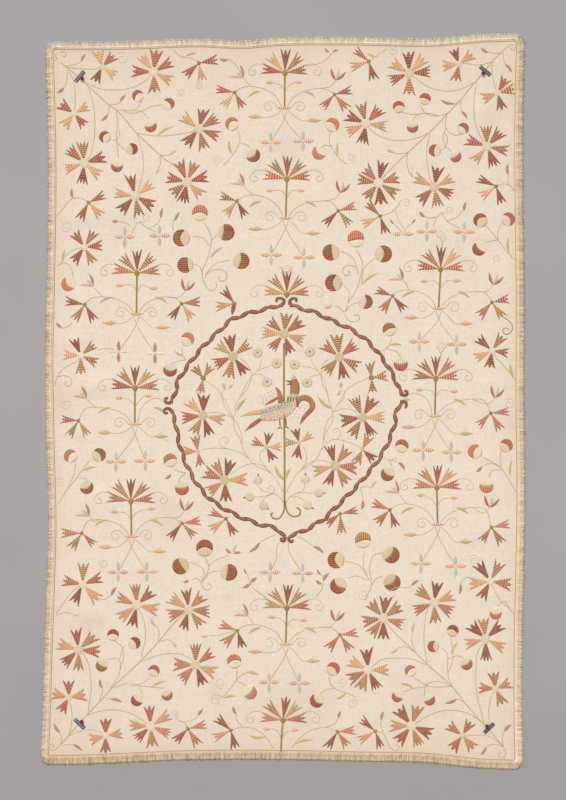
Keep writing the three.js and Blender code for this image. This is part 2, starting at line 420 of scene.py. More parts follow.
def silk_finish(name, roughness, pitch, banded=False):
    finish, tree, shader = new_finish(name, roughness, SILK_SHEEN)
    stitch = add(tree, "ShaderNodeUVMap", uv_map="stitch").outputs[0]
    threads = use_group(tree, thread_group, Vector=stitch, Pitch=pitch)
    colour = carried(tree, "tint", "Color")
    if banded:
        run = calc(tree, "DIVIDE", part_of(tree, stitch, "X"), BAND_PITCH_M)
        wave = calc(tree, "SINE", calc(tree, "MULTIPLY", run, 2 * math.pi))
        tone_share = remap(tree, threads["Tone"], *WORN_SPAN, WORN_BAND)
        share = calc(tree, "MULTIPLY", remap(tree, wave, *BAND_SPAN), tone_share)
        colour = blend(tree, share, colour, carried(tree, "band", "Color"))
    shade = remap(tree, threads["Tone"], *STRAND_SPAN, *STRAND_TONES)
    colour = blend(tree, 1.0, colour, shade, "MULTIPLY")
    old = use_group(tree, tone_group, Vector=stitch, Size=OLD_SILK_SIZE)["Mask"]
    colour = blend(tree, calc(tree, "MULTIPLY", old, OLD_SILK_SHARE), colour, rgba(*LINEN))
    tree.links.new(colour, shader.inputs["Base Color"])
    bump(tree, shader, threads["Height"], THREAD_DEPTH_M, 0.6)
    return finish


silk = silk_finish("silk_thread", 0.6, 0.0012)
banded_silk = silk_finish("banded_silk_thread", 0.6, 0.0012, banded=True)
yarn = silk_finish("fringe_yarn", 0.85, 0.0011)
ribbon = silk_finish("woven_ribbon", 0.7, 0.0009)

# %% Floor board
BOARD = (168, 164, 165)
BOARD_PALE = (173, 169, 169)
# painted shade: the board is painted darker towards the foot end, about a tenth darker beyond the foot of the
# cloth
BOARD_SHADE_FROM_TO_M = (-1.3, -0.35)
BOARD_PAINTED_SHADE_TONE = 0.905
BOARD_TONE_SIZE = 1.3
board, tree, shader = new_finish("pale_board", 0.9, 0.0)
spot = add(tree, "ShaderNodeTexCoord").outputs["Object"]
tone = use_group(tree, tone_group, Vector=spot, Size=BOARD_TONE_SIZE)["Mask"]
colour = blend(tree, tone, rgba(*BOARD), rgba(*BOARD_PALE))
# painted shade on the board, darker towards the foot end
painted_board_shade = remap(tree, part_of(tree, spot, "Y"), *BOARD_SHADE_FROM_TO_M, BOARD_PAINTED_SHADE_TONE)
tree.links.new(blend(tree, 1.0, colour, painted_board_shade, "MULTIPLY"), shader.inputs["Base Color"])
floor.data.materials.append(board)
print("finishes:", linen.name, silk.name, banded_silk.name, yarn.name, ribbon.name)

# %% [markdown]
# ## The linen sheet
# It is one woven sheet, about 2 mm thick with its stitching, that rests on its folds. A grid between the
# four edges follows the outline, and each crease is a soft ridge or trough of its own size. A cloth
# simulation would scatter the creases, and these have to lie where they lie on the real one.

# %% Creases
CLOTH_THICKNESS = 2.0
Crease = namedtuple("Crease", "x y turn reach half lift")
# broad folds first, then fine ones
CREASES = rows_of(Crease, """
-635 55 3 120 62 5
-645 345 -4 110 62 3.5
-640 -335 5 112 62 4
-650 -730 -3 108 62 3
668 985 35 100 62 3.5
668 -440 -6 105 62 4
-60 690 1 560 75 2.5
80 460 -2 480 70 2
-690 620 8 80 26 2.2
-700 470 -6 70 24 1.8
-705 205 10 75 26 2.2
-700 -110 -8 80 24 2.4
-700 -240 5 66 24 1.6
-700 -480 -5 80 26 2.0
-715 -610 9 62 24 1.6
-710 -860 4 70 26 1.8
-430 230 78 130 28 1.4
700 560 -8 80 26 1.8
705 300 6 85 26 2.0
705 60 -5 80 24 1.7
700 -190 8 80 26 2.0
700 -660 -9 75 26 1.8
690 -900 12 75 26 1.6
420 -330 84 150 28 1.3
-380 1130 80 60 26 1.5
120 1140 86 58 26 1.5
430 1140 96 60 26 1.6
-260 -1120 88 60 26 1.4
240 -1120 84 62 26 1.4
20 -640 3 360 34 1.3
-40 20 1 420 36 1.0
""")


def cloth_lift(x, y):
    """How far the cloth stands off the surface, in millimetres."""
    x = np.asarray(x, float) - SHIFT[0]
    y = np.asarray(y, float) - SHIFT[1]
    height = np.zeros(x.shape)
    for crease in CREASES:
        turn = math.radians(crease.turn)
        along = ((x - crease.x) * math.cos(turn) + (y - crease.y) * math.sin(turn)) / crease.reach
        across = ((y - crease.y) * math.cos(turn) - (x - crease.x) * math.sin(turn)) / crease.half
        along = np.clip(np.abs(along), 0, 1)
        across = np.clip(np.abs(across), 0, 1)
        height += crease.lift * (np.cos(along * math.pi / 2) * np.cos(across * math.pi / 2)) ** 2
    return height


def cloth_top(x, y):
    return cloth_lift(x, y) + CLOTH_THICKNESS


def on_cloth(plan, rise):
    """Places on the cloth with their heights, so far above its face."""
    return np.dstack([plan, cloth_top(plan[..., 0], plan[..., 1]) + rise])


def grid_quads(index):
    """Four-sided faces between the points of a grid."""
    corners = [index[:-1, :-1], index[:-1, 1:], index[1:, 1:], index[1:, :-1]]
    return np.stack(corners, axis=-1).reshape(-1, 4)


# %% Grid between the four edges
CLOTH_WIDTH = 1590.0
CLOTH_LENGTH = 2420.0
GRID_COLUMNS = 150
GRID_ROWS = 228
HEM_LINES = [0.0, 3.0, 6.5, 10.0]


def edge_shares(length, cells):
    """Shares along an edge: even cells, with closer lines where the hem is turned in."""
    near = np.array(HEM_LINES) / length
    middle = np.linspace(near[-1], 1 - near[-1], cells + 1)
    return np.concatenate([near[:-1], middle, (1 - near[:-1])[::-1]])


def along_path(path, shares):
    run = lengthwise(path)
    return at_run(path, run, shares * run[-1])


across_shares = edge_shares(CLOTH_WIDTH, GRID_COLUMNS)
up_shares = edge_shares(CLOTH_LENGTH, GRID_ROWS)
head = along_path(paths[0], across_shares)
east = along_path(paths[1][::-1], up_shares)
foot = along_path(paths[2][::-1], across_shares)
west = along_path(paths[3], up_shares)
u = across_shares[None, :, None]
v = up_shares[:, None, None]
corners = (1 - u) * (1 - v) * foot[0] + u * (1 - v) * foot[-1] + (1 - u) * v * head[0] + u * v * head[-1]
plan = (1 - v) * foot[None] + v * head[None] + (1 - u) * west[:, None] + u * east[:, None] - corners
print("sheet grid", plan.shape[:2])

# %% Sheet mesh, with its stains and darker edges
Stain = namedtuple("Stain", "px py reach_mm strength")
STAINS = rows_of(Stain, """
170 520 75 0.25
216 695 26 0.34
228 597 16 0.22
120 225 60 0.2
330 330 110 0.12
455 250 80 0.15
300 700 90 0.18
90 620 60 0.2
425 700 70 0.18
285 158 80 0.15
60 400 60 0.25
512 420 60 0.2
""")
# how much darker the cloth gets towards the rim, the two ends and the two sides, and how far in that reaches
RIM_DARKENING = (0.22, 25.0)
END_DARKENING = (0.24, 240.0)
SIDE_DARKENING = (0.1, 110.0)
SMOOTH_UNDER = math.radians(40)
index = np.arange(plan[..., 0].size).reshape(plan.shape[:2])
points = on_cloth(plan, 0.0).reshape(-1, 3) * MM
sheet_mesh = bpy.data.meshes.new("linen_ground")
sheet_mesh.from_pydata(points.tolist(), [], grid_quads(index).tolist())
marks = np.zeros(index.size)
for mark in STAINS:
    away = np.hypot(*(plan.reshape(-1, 2) - place(mark.px, mark.py)).T) / mark.reach_mm
    marks = np.maximum(marks, mark.strength * np.exp(-away ** 2))
from_ends = np.minimum(up_shares, 1 - up_shares)[:, None] * CLOTH_LENGTH
from_sides = np.minimum(across_shares, 1 - across_shares)[None] * CLOTH_WIDTH
rim = np.minimum(from_ends, from_sides)
tone_share = sum(share * np.exp(-away / reach) for away, (share, reach) in
           ((rim, RIM_DARKENING), (from_ends, END_DARKENING), (from_sides, SIDE_DARKENING)))
marks = np.clip(marks + tone_share.reshape(-1), 0, 1)
sheet_mesh.attributes.new("stain", "FLOAT", "POINT").data.foreach_set("value", marks)

# %% Sheet thickened and declared
linen_ground = bpy.data.objects.new("linen_ground", sheet_mesh)
scene.collection.objects.link(linen_ground)
bpy.ops.object.select_all(action="DESELECT")
bpy.context.view_layer.objects.active = linen_ground
linen_ground.select_set(True)
solid = linen_ground.modifiers.new("cloth", "SOLIDIFY")
solid.thickness = CLOTH_THICKNESS * MM
solid.offset = -1
bpy.ops.object.modifier_apply(modifier="cloth")
bpy.ops.object.shade_smooth_by_angle(angle=SMOOTH_UNDER)
linen_ground.data.materials.append(linen)
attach(linen_ground, "root")
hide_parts("ground_cloth")
print("sheet faces", len(linen_ground.data.polygons))

# %% [markdown]
# ## A stitch collector
# Embroidery is thousands of small raised shapes. Each could be its own object, which would be slow to
# handle, so a collector keeps them as rows of points and makes one joined mesh for each kind. Every shape
# is a closed strip: a raised top, two low walls, and an underside sunk a little into the cloth.

# %% Stitch collector
SUNK = 0.3


class Needlework:
    def __init__(self):
        self.points = []
        self.faces = []
        self.tints = []
        self.bands = []
        self.stitches = []
        self.count = 0

    def keep(self, points, faces, tints, stitches, band=None):
        self.points.append(points)
        self.faces.extend(faces)
        self.tints.append(tints)
        self.bands.append(tints if band is None else np.broadcast_to(band, tints.shape))
        self.stitches.append(stitches)
        self.count += len(points)

    def strip(self, left, right, rise, tint, threads_cross=False, band=None, band_run=None, sunk=SUNK):
        """A raised strip between two lines of points; rise holds the height of each row and column."""
        left = np.asarray(left, float)
        right = np.asarray(right, float)
        rows, columns = rise.shape
        share = np.linspace(0.0, 1.0, columns)[None, :, None]
        plan = left[:, None] * (1 - share) + right[:, None] * share
        top = on_cloth(plan, rise)
        rims = np.stack([left, right], axis=1)
        under = on_cloth(rims, -sunk)
        run = np.repeat(lengthwise((left + right) / 2)[:, None], columns, axis=1)
        reach = np.hypot(*(right - left).T)[:, None]
        side = share[..., 0] * reach
        if threads_cross:
            stitch = np.dstack([side, run])
        else:
            stitch = np.dstack([run, side - reach / 2])
        if band_run is not None:
            stitch[..., 0] = band_run(plan)
        rim_stitch = np.stack([stitch[:, 0], stitch[:, -1]], axis=1)
        grid = self.count + np.arange(rows * columns).reshape(rows, columns)
        low = self.count + rows * columns + np.arange(rows * 2).reshape(rows, 2)
        quads = np.concatenate([
            grid_quads(grid),
            np.stack([low[:-1, 0], low[1:, 0], low[1:, 1], low[:-1, 1]], -1),
            np.stack([grid[:-1, 0], grid[1:, 0], low[1:, 0], low[:-1, 0]], -1),
            np.stack([grid[1:, -1], grid[:-1, -1], low[:-1, 1], low[1:, 1]], -1),
        ]).tolist()
        quads.append([*grid[0, ::-1].tolist(), int(low[0, 0]), int(low[0, 1])])
        quads.append([*grid[-1].tolist(), int(low[-1, 1]), int(low[-1, 0])])
        tints = np.broadcast_to(np.asarray(tint, float), (rows, columns, 3))
        rim_tints = np.stack([tints[:, 0], tints[:, -1]], axis=1)
        self.keep(np.concatenate([top.reshape(-1, 3), under.reshape(-1, 3)]), quads,
                  np.concatenate([tints.reshape(-1, 3), rim_tints.reshape(-1, 3)]),
                  np.concatenate([stitch.reshape(-1, 2), rim_stitch.reshape(-1, 2)]), band)

    def rings(self, centre, radii, rises, tints, sides=18, wheel=0.0):
        """A round boss: rings of points from the middle out, its tone waving round it by the share wheel."""
        turn = np.arange(sides) * 2 * math.pi / sides
        spokes = np.stack([np.cos(turn), np.sin(turn)], axis=1)
        radii = np.asarray([*radii, radii[-1]], float)
        rises = np.asarray([*rises, -SUNK], float)
        tints = np.asarray([*tints, tints[-1]], float)
        plan = np.asarray(centre) + radii[:, None, None] * spokes[None]
        top = on_cloth(plan, rises[:, None])
        count = len(radii)
        grid = self.count + np.arange(count * sides).reshape(count, sides)
        after = np.roll(grid, -1, axis=1)
        quads = np.stack([grid[:-1], grid[1:], after[1:], after[:-1]], -1).reshape(-1, 4).tolist()
        quads.append(grid[0].tolist())
        quads.append(grid[-1, ::-1].tolist())
        spoke = np.tile(1 + wheel * np.cos(np.arange(sides) * math.pi / 1.5), count)[:, None]
        self.keep(top.reshape(-1, 3), quads, np.repeat(tints, sides, axis=0) * spoke,
                  (plan - np.asarray(centre)).reshape(-1, 2))

    def finish(self, name, material, slot="linen"):
        """One joined mesh of everything collected."""
        mesh = bpy.data.meshes.new(name)
        points = np.concatenate(self.points) * MM
        mesh.from_pydata(points.tolist(), [], self.faces)
        for title, rows in (("tint", self.tints), ("band", self.bands)):
            values = np.concatenate(rows)
            colours = np.concatenate([values, np.ones((len(values), 1))], axis=1)
            mesh.attributes.new(title, "FLOAT_COLOR", "POINT").data.foreach_set("color", colours.ravel())
        corners = np.empty(len(mesh.loops), dtype=np.int32)
        mesh.loops.foreach_get("vertex_index", corners)
        stitches = np.concatenate(self.stitches) * MM
        mesh.uv_layers.new(name="stitch").data.foreach_set("uv", stitches[corners].ravel())
        working = bmesh.new()
        working.from_mesh(mesh)
        bmesh.ops.recalc_face_normals(working, faces=working.faces)
        working.to_mesh(mesh)
        working.free()
        mesh.polygons.foreach_set("use_smooth", np.ones(len(mesh.polygons), dtype=bool))
        mesh.materials.append(material)
        piece = bpy.data.objects.new(name, mesh)
        scene.collection.objects.link(piece)
        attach(piece, "root")
        print(name, "faces", len(mesh.polygons))
        return piece


# %% [markdown]
# ## Thread colours and stitch shapes
# The silk has faded to a few madder reds, an ochre, a pale orange, olive and a grey blue. Almost every
# motif is one of four shapes: a blade with pointed ends, a toothed petal, a round boss, and a stem.

# %% Thread colours


def shades(text):
    """Colours by name, each given in 0 to 255."""
    table = {}
    for line in lines_of(text):
        name, *values = line.split()
        table[name] = linear(*map(float, values))
    return table


THREADS = shades("""
D 134 66 40
B 164 82 55
R 186 101 70
O 168 110 67
P 240 190 143
olive 158 136 60
stem 205 185 142
blue 205 200 178
cream 244 228 197
pink 246 206 160
rope 140 84 50
speck 222 180 150
yellow 236 196 142
beige 215 184 140
brown 140 94 60
faint 214 196 164
leaf 209 189 122
umber 158 134 104
tan 176 122 84
grey 204 196 168
ochre 190 132 80
russet 174 102 73
peach 234 210 175
butter 244 224 188
white 252 242 222
slate 196 196 180
""")
# the second tone of the threads that are worked in bands
BANDS = shades("""
D 212 144 106
B 232 168 127
R 242 192 152
O 240 194 144
P 194 128 84
pink 206 130 86
yellow 202 142 94
tan 226 186 144
ochre 150 96 60
""")
chance = np.random.default_rng(7)


def dyed(key, spread=0.06):
    """A thread colour, a little lighter or darker from one skein to the next."""
    return THREADS[key] * (1 + spread * chance.uniform(-1, 1))


# %% Stitch shapes
TWIST_MM = 6.8


def blade(work, spine, half_widths, height, tint, columns=5, band=None):
    """A domed strip along a spine, as wide at each row as half_widths says."""
    spine = np.asarray(spine, float)
    half = np.maximum(np.asarray(half_widths, float), 0.35)
    side = leftward(spine) * half[:, None]
    across = np.linspace(-1, 1, columns)[None]
    full = 0.35 + 0.65 * (half / half.max())[:, None]
    rise = height * full * (0.3 + 0.7 * (1 - across ** 2))
    work.strip(spine + side, spine - side, rise, tint, band=band)


def stem(work, points, width, tint, height=0.9, twist=0.0):
    """A line of stem stitch; twist is how much its tone changes from stitch to stitch."""
    line = smooth(points, 6.0 if twist == 0 else 1.7)
    half = np.full(len(line), width / 2)
    half[0] *= 0.6
    half[-1] *= 0.5
    shade = 1 + twist * np.sin(lengthwise(line) / TWIST_MM * 2 * math.pi)
    blade(work, line, half, height, tint * shade[:, None, None], columns=4)


def leaf(work, base, tip, width, tint, height=1.1, fullest=0.45, curve=0.08, band=None):
    """A pointed leaf from its base to its tip, bowed a little to one side."""
    base = np.asarray(base, float)
    tip = np.asarray(tip, float)
    span = tip - base
    side = np.array([-span[1], span[0]])
    spine = smooth([base, base + span * 0.5 + side * curve, tip], max(np.hypot(*span) / 10, 2.0))
    t = np.linspace(0, 1, len(spine))
    power = math.log(0.5) / math.log(fullest)
    blade(work, spine, width / 2 * np.sin(math.pi * t ** power) ** 0.8, height, tint, band=band)


# %% Petals
FADED_FROM_TO = (-900, 300)
FADED_DEPTHS = (0.6, 1.0)
BAND_PACES = (0.97, 0.86)
BAND_DEPTHS = {"D": 0.7, "B": 0.86, "R": 1.0, "O": 0.98, "P": 1.22}
TOOTH_PLACES = {3: [-1, -0.42, 0, 0.42, 1], 4: [-1, -0.58, -0.3, 0, 0.3, 0.58, 1]}
PETAL_COLUMNS = 15
NOTCH_SHARE = 0.31
ROOT_SPREAD = 0.85


def petal(work, centre, angle, inner, outer, spread, key, teeth=3, height=1.3):
    """A carnation petal: a wedge in bands of two tones, whose outer end is cut into long pointed teeth."""
    steps = 6 * (teeth - 1) + 1
    places = TOOTH_PLACES[teeth]
    turns = np.linspace(0, len(places) - 1, steps)
    across = np.interp(turns, np.arange(len(places)), places)
    notch = 1 - np.abs(turns % 2 - 1)
    peaks = chance.uniform(0.92, 1.0, teeth)
    peaks[[0, -1]] = chance.uniform(0.97, 1.08, 2)
    tips = outer * np.interp(across, places[::2], peaks) - (outer - inner) * NOTCH_SHARE * notch ** 1.5
    base = centre + inner * heading(angle - spread * ROOT_SPREAD * across)
    ends = centre + tips[:, None] * heading(angle - spread * across)
    s = np.linspace(0, 1, PETAL_COLUMNS)[None]
    dome = np.sqrt(1 - 0.85 * across[:, None] ** 2) * np.minimum(1, 0.45 + 5 * s) * (1 - 0.75 * s ** 6)
    tone = 1 + 0.13 * chance.uniform(-1, 1)
    fade = np.broadcast_to((1 - 0.25 * s ** 4)[..., None], (steps, PETAL_COLUMNS, 1))
    depth = np.interp(centre[1], FADED_FROM_TO, FADED_DEPTHS) * chance.uniform(0.8, 1.15) * BAND_DEPTHS[key]
    pace = np.interp(centre[1], FADED_FROM_TO, BAND_PACES) * chance.uniform(0.85, 1.15)
    middle = THREADS[key] * 0.6 + BANDS[key] * 0.4
    ground = middle + (THREADS[key] - middle) * depth
    band = middle + (BANDS[key] - middle) * depth
    work.strip(base, ends, height * dome, ground * tone * fade, threads_cross=True, band=band * tone,
               band_run=lambda plan: (plan - centre) @ heading(angle) * pace)


def parse_petals(text):
    """'104P -33B' gives the angle and the thread of each petal."""
    return [(float(word[:-1]), word[-1]) for word in text.split()]


# %% Scrolls and places


def scroll(start, centre, turns=1.3, hand=1):
    """A stem's end wound into a small spiral."""
    start = np.asarray(start, float)
    centre = np.asarray(centre, float)
    reach = start - centre
    radius = np.hypot(*reach)
    first = math.atan2(reach[1], reach[0])
    t = np.linspace(0, 1, 12)
    turn = first + hand * t * turns * 2 * math.pi
    shrink = radius * (1 - 0.75 * t)
    return centre + shrink[:, None] * np.stack([np.cos(turn), np.sin(turn)], 1)


def route(text):
    """Pixels of one line, as places on the cloth."""
    return np.array([place(*map(float, pair.split(","))) for pair in text.split()])


def step(point, x_pixels, y_pixels):
    """A place that many pixels to the right of and below another one."""
    return np.asarray(point) + np.array([x_pixels, -y_pixels]) * PIXEL_MM


# %% [markdown]
# ## Round carnations
# Each is a disc with three to seven striped petals, and no two are alike, so every flower is a row with
# the angle and the thread of each of its petals. The petals are drawn afresh as wedges with long teeth.

# %% Round carnation tables
Carnation = namedtuple("Carnation", "centre size petals")
FlowerSize = namedtuple("FlowerSize", "reach heart spread")
SIZES = {
    "full": FlowerSize(75, 15.6, (14.5, 17.5)), "open": FlowerSize(74, 12.5, (14.5, 17.5)),
    "less": FlowerSize(64, 11.0, (15.5, 18.5)), "small": FlowerSize(60, 10.5, (18.0, 21.0)),
    "tiny": FlowerSize(54, 7.0, (17.0, 20.0)),
}
# px, py, size, and the angle and thread of each petal
CREAM_HEARTED = """
102 67 small 104P 44B -33P -115D
153.5 72 full 82B 29B -27P -87O 178B 127P
199 129 full 77D 32O -21B -75O -131D 142P
74 113.5 small 144B 28P -49B -129P
84 163 full 94O 17B -38P -95D -161P 138B
187 182 full 112B 67O 15B -43P -101D -141O 167B
135 196 full 103D 36P -29B -78O -133D 172P
84.5 247.2 less 58O 6B -62O -127D 125B
409 73.5 full 92D 46P 5B -90O -159B 148P
459 64 small 110D 37P -101B -173P
497.5 93 small 60B 14O -75D -158P
366 123.5 full 105O 46B -8P -100D -155P 157D
487 146.5 full 93O 47B -12O -69D -131P 161B
378.5 183 full 78D 16R -32O -83D -130O 170R 133O
434.3 187 full 80D 27P -24B -80O -136B 154P
80.9 355.4 less 112D 40O -25R -90O 178P
82.6 584.4 open 88O 21B -45P -115D 168R
491.8 350.5 less 54O -9B -98D -155P 138D
490.2 581 open 125D 62O -10R -118D -173P
137 605 full 95O 43B -13P -103D -143P 158R
188.6 609.5 full 97D 45O -5R -51O -105D -163R 146P
78.5 649.7 full 97D 42O -5B -90O -137D 163P
195.6 664.8 full 90O 37B -22P -69D -134O 178R
68.7 697.4 small 90B 10P -119B 165P
105.6 735.5 small 90B 8P -90B -165P
150.6 726 full 94B 32P -22R -85O -137D 178P
383.3 618 full 83D 36O -18R -90D -128O -170R 130O
433.8 602.5 full 80D 21P -28R -85O -157R 140O
485.3 638.8 full 96O 42D -26P -88D -165P 136D
368 669.7 full 95D 0P -64D -112O -153R 153P
495.6 688.7 small 98O 23R -66O 176R
411.5 725.6 full 72O 128D -23D -69O -130D 180P
462.2 735.3 small 58B -50O -127B 143O
284 334 full 83O 37B -19P -71D -131B 176P 138B
233 356.3 full 100D 38O -54D -102O -156B 142P
339.4 356.8 full 97O 39B -28O -78D -132O 142R
203 415.3 full 88D 135P -173B -118O -72D -13P
362.5 417.3 full 113O 60B 0P -62D -121O -171B
224.7 480 full 119O 73D 2P -87D -143O 158R
335 465.5 full 105D 53O -6R -56O -110D -165P
266.2 447 tiny 80D 2P -62D 155R
299.2 442.7 tiny 106D 35P -100D 178P
198 451.5 tiny 100O 178P -80O
362.3 449.5 tiny 64O -42D -115O
"""
OLIVE_HEARTED = """
203.2 378.3 tiny 128O 58O -102O
371.4 377.8 tiny 97O 8R -85O
"""

# %% Round carnations made
WREATH_MIDDLE = (284, 415)
WREATH_REACH = 330
OLIVE_HEART_MM = 9.5
FOUR_TOOTHED = 0.25
HEART_RINGS = np.array([0.22, 0.5, 0.62, 0.85, 1.0])
HEART_RISES = [0.45, 0.5, 0.42, 0.4, 0.15]
HEART_TONES = [1.0, 1.03, 0.95, 1.0, 0.97]
round_petals = Needlework()
hearts = Needlework()


def carnation_rows(text):
    rows = []
    for line in lines_of(text):
        px, py, size, petals = line.split(maxsplit=3)
        rows.append(Carnation(place(float(px), float(py)), size, petals))
    return rows


def carnation(row, olive=False):
    size = SIZES[row.size]
    heart = OLIVE_HEART_MM if olive else size.heart
    for angle, key in parse_petals(row.petals):
        reach = size.reach * chance.uniform(0.96, 1.05)
        teeth = 4 if row.size == "full" and chance.uniform() < FOUR_TOOTHED else 3
        spread = chance.uniform(*size.spread)
        petal(round_petals, row.centre, angle, heart * 1.08, reach, spread, key, teeth)
    inside = max(abs(row.centre - place(*WREATH_MIDDLE))) < WREATH_REACH
    share = chance.uniform(0.45, 1.0) * (0.35 if inside else 1.0)
    if row.size in ("open", "less"):
        share = 1.0
    pale = THREADS["olive"] if olive else THREADS["cream"] * share + THREADS["beige"] * (1 - share)
    tints = [pale * tone for tone in HEART_TONES]
    hearts.rings(row.centre, heart * HEART_RINGS, HEART_RISES, tints, 24, 0.05)


carnations = carnation_rows(CREAM_HEARTED)
for row in carnations:
    carnation(row)
for row in carnation_rows(OLIVE_HEARTED):
    carnation(row, olive=True)
pieces = [round_petals.finish("round_carnation_petals", banded_silk)]

# %% [markdown]
# ## Hanging carnations and flower trees
# Smaller carnations hang from a curved stem by a green calyx, most with three petals. The middle of every
# side has upright trees: a five-petalled head, a tied stem with two arms, buds, and a pair of blossoms at
# the foot. The trees share one plan, so one function makes them all from a row of places.

# %% Hanging carnations
HUNG_REACH = 65
HUNG_SPREAD = (13, 15.5)
HUNG_ROOT = 6.0
# px, py, and the angle and thread of each petal
HANGING = """
198.9 63 -137B -79P 10B
234.7 92.4 170B -129P -62B
368.7 61.5 139B -162P -74D
334.5 94.5 15B -50O -133B
88.5 202.5 26B -47P -117D
236.9 201 163O -130P -61D
496 186.3 156D -146P -71D
338.3 210.7 16R -51O -135D
380 216 135B -155P -72D
85 304.5 170B -125O -60D
181.5 303.4 5R -55P -125D
392.5 295.8 160B -125O -50D
491.8 302.3 12R -54O -133R
78.5 420.6 175B -122O -58R
490.7 413 5R -60O -135R
81.8 533 180R -124O -43B
181.9 523.2 8R -46O -129D
389.8 509.7 158R -135O -71D
491.2 527 10R -56O -125B
226 518.6 155R -144P -62D
339.9 513.8 12R -85O -143B
234.7 303.4 130D -170P
237.4 630.4 160R -135O -74D
339.9 634.8 8R -56O -130B
188 728.5 14R -58O -135D
230.9 730.2 138D -156P -76D
337.4 731.5 5R -56O -122D
375.3 731 140D -150P -72D
"""
hung_petals = Needlework()
greenery = Needlework()
stems = Needlework()
for line in lines_of(HANGING):
    px, py, petals = line.split(maxsplit=2)
    centre = place(float(px), float(py))
    drop = np.zeros(2)
    for angle, key in parse_petals(petals):
        reach = HUNG_REACH * chance.uniform(0.94, 1.08)
        petal(hung_petals, centre, angle, HUNG_ROOT, reach, chance.uniform(*HUNG_SPREAD), key)
        drop += heading(angle)
    drop /= np.hypot(*drop)
    leaf(greenery, centre - drop * 8, centre + drop * 9, 12, dyed("olive"), 1.7, 0.5, 0.0)
print("hanging carnations", len(lines_of(HANGING)))

# %% Tree table
Tree = namedtuple("Tree", "calyx tie blossoms buds ears tulips arms petals")
TREES = [
    Tree("284.9,73", "284.5,108", "270.5,142.3 303,141.2", "269.4,82.6 298.7,82",
         "254.8,116.8 313.9,120.6", "243.4,77.7 335.6,80.4", "234.7,92.4 334.5,94.5",
         "88D 132P 47O 169B 9B"),
    Tree("286.8,179", "285.7,218", "271,255 304,257.3", "269.4,190.6 300.9,190.6",
         "255.3,229 313.3,233.4", "243.9,185.7 339.9,192.8", "236.9,201 338.3,210.7",
         "88D 132O 47O 169R 9R"),
    Tree("137,273", "136.5,313.8", "118.6,351.8 155,353.4", "119.6,285.6 153.5,288.3",
         "109.4,323 162.5,327.4", "93.5,286.5 185,291", "85,304.5 181.5,303.4", "90D 132O 47O 169R 8R"),
    Tree("135,388", "134.9,424", "115.9,461.4 145.2,460.8", "119.2,397.9 147.9,395.7",
         "104.5,432.6 160.9,436.4", "86.6,398.4", "78.5,420.6 166,404", "90D 132O 47P 170B 8R"),
    Tree("130.9,501", "131.6,536.4", "118,572 146.8,571.5", "114.8,511.8 151.2,508.6",
         "105.6,547 159.3,551.4", "89.3,516.2 184.3,510.7", "81.8,533 181.9,523.2",
         "90D 132O 47O 170R 8R"),
    Tree("440.5,269.2", "438.6,308.3", "419.1,341.5 456.5,344.2", "424,281.2 456.5,280.6",
         "411,317.5 465.7,323.6", "402.8,280 492.9,285", "392.5,295.8 491.8,302.3",
         "88D 132O 47P 170R 8R"),
    Tree("435.7,378.3", "434.8,415.8", "422.9,449.9 451.1,452.1", "419.7,389.7 453.8,391.3",
         "408.3,427 465.7,433.6", "494.5,397.9", "405,399 490.7,413", "90D 132O 47O 170R 8R"),
    Tree("436.8,487.4", "437.5,524.3", "420.7,563.3 455.4,566", "420.7,495 453.3,497.7",
         "410.4,534.6 465.7,541.6", "398.5,493.4 489.1,507.5", "389.8,509.7 491.2,527",
         "88D 132O 47P 170R 8R"),
    Tree("286.8,607.7", "285.7,644", "268.9,682 299.2,683", "271.6,616.9 303,620.1",
         "255.3,651.6 312.8,660.8", "247.7,615.8 335,621.2", "237.4,630.4 339.9,634.8",
         "87D 132O 47O 168P 8B"),
]
HORN = "234.7,302 232,315"
HEADS = [("286.8,294.2", "90D 132O 47O 170P 8R"), ("283,720", "82D 134O 46P 172R 6R")]
LONE_BLOSSOMS = "124.6,236.7 159.3,235.6 426.7,231.3 464,231.8 402.8,234 270,572 302.5,573"

# %% Parts of a tree
HEAD_REACH = 81
HEAD_ROOT = 8.0
LEFT_TULIP = ((108, 46, "tan"), (176, 50, "pink"), (140, 32, "blue"))
RIGHT_TULIP = ((106, 45, "B"), (42, 46, "B"), (72, 40, "blue"))
ARCH = ((0.17, 0.52), (0.33, 0.8), (0.52, 0.95), (0.70, 1.0), (0.87, 0.92))
FORK = (0.65, 0.985)
LEVEL_LOBES = [(-1, 0, "pink", 14), (1, 0, "pink", 14)]
UPRIGHT_LOBES = [(0, 1, "blue", 11), (0, -1, "blue", 11)]
BROWN_LOBES = [(0, 1, "tan", 12), (0, -1, "tan", 12), (1, 0, "cream", 8), (-1, 0, "cream", 8)]
SPARE_BLOSSOMS = {"118.6,351.8": BROWN_LOBES, "155,353.4": BROWN_LOBES, "402.8,234": LEVEL_LOBES}


def hand_of(spot, middle):
    """1 for a place to the right of the middle, and -1 to the left."""
    return 1 if spot[0] > middle[0] else -1


def twig(points, width, height=0.9):
    stem(stems, points, width, dyed("stem"), height)


def bud(base, tip, width, key, height=1.1, curve=0.0):
    """A bud or a leaf, in bands where its thread has two tones."""
    leaf(greenery, base, tip, width, dyed(key), height, 0.47, curve, BANDS.get(key))


def blossom(text):
    """Two striped lobes to the sides, two pale ones up and down, and a cream middle."""
    centre = route(text)[0]
    for x, y, key, width in SPARE_BLOSSOMS.get(text, LEVEL_LOBES + UPRIGHT_LOBES):
        aim = np.array([x, y])
        reach = chance.uniform(35, 39)
        bud(centre + aim * 3, centre + aim * reach, width, key)
    tints = [THREADS["cream"], THREADS["cream"], THREADS["faint"]]
    hearts.rings(centre, [2, 3.5, 5], [1.5, 1.4, 0.8], tints, 12)


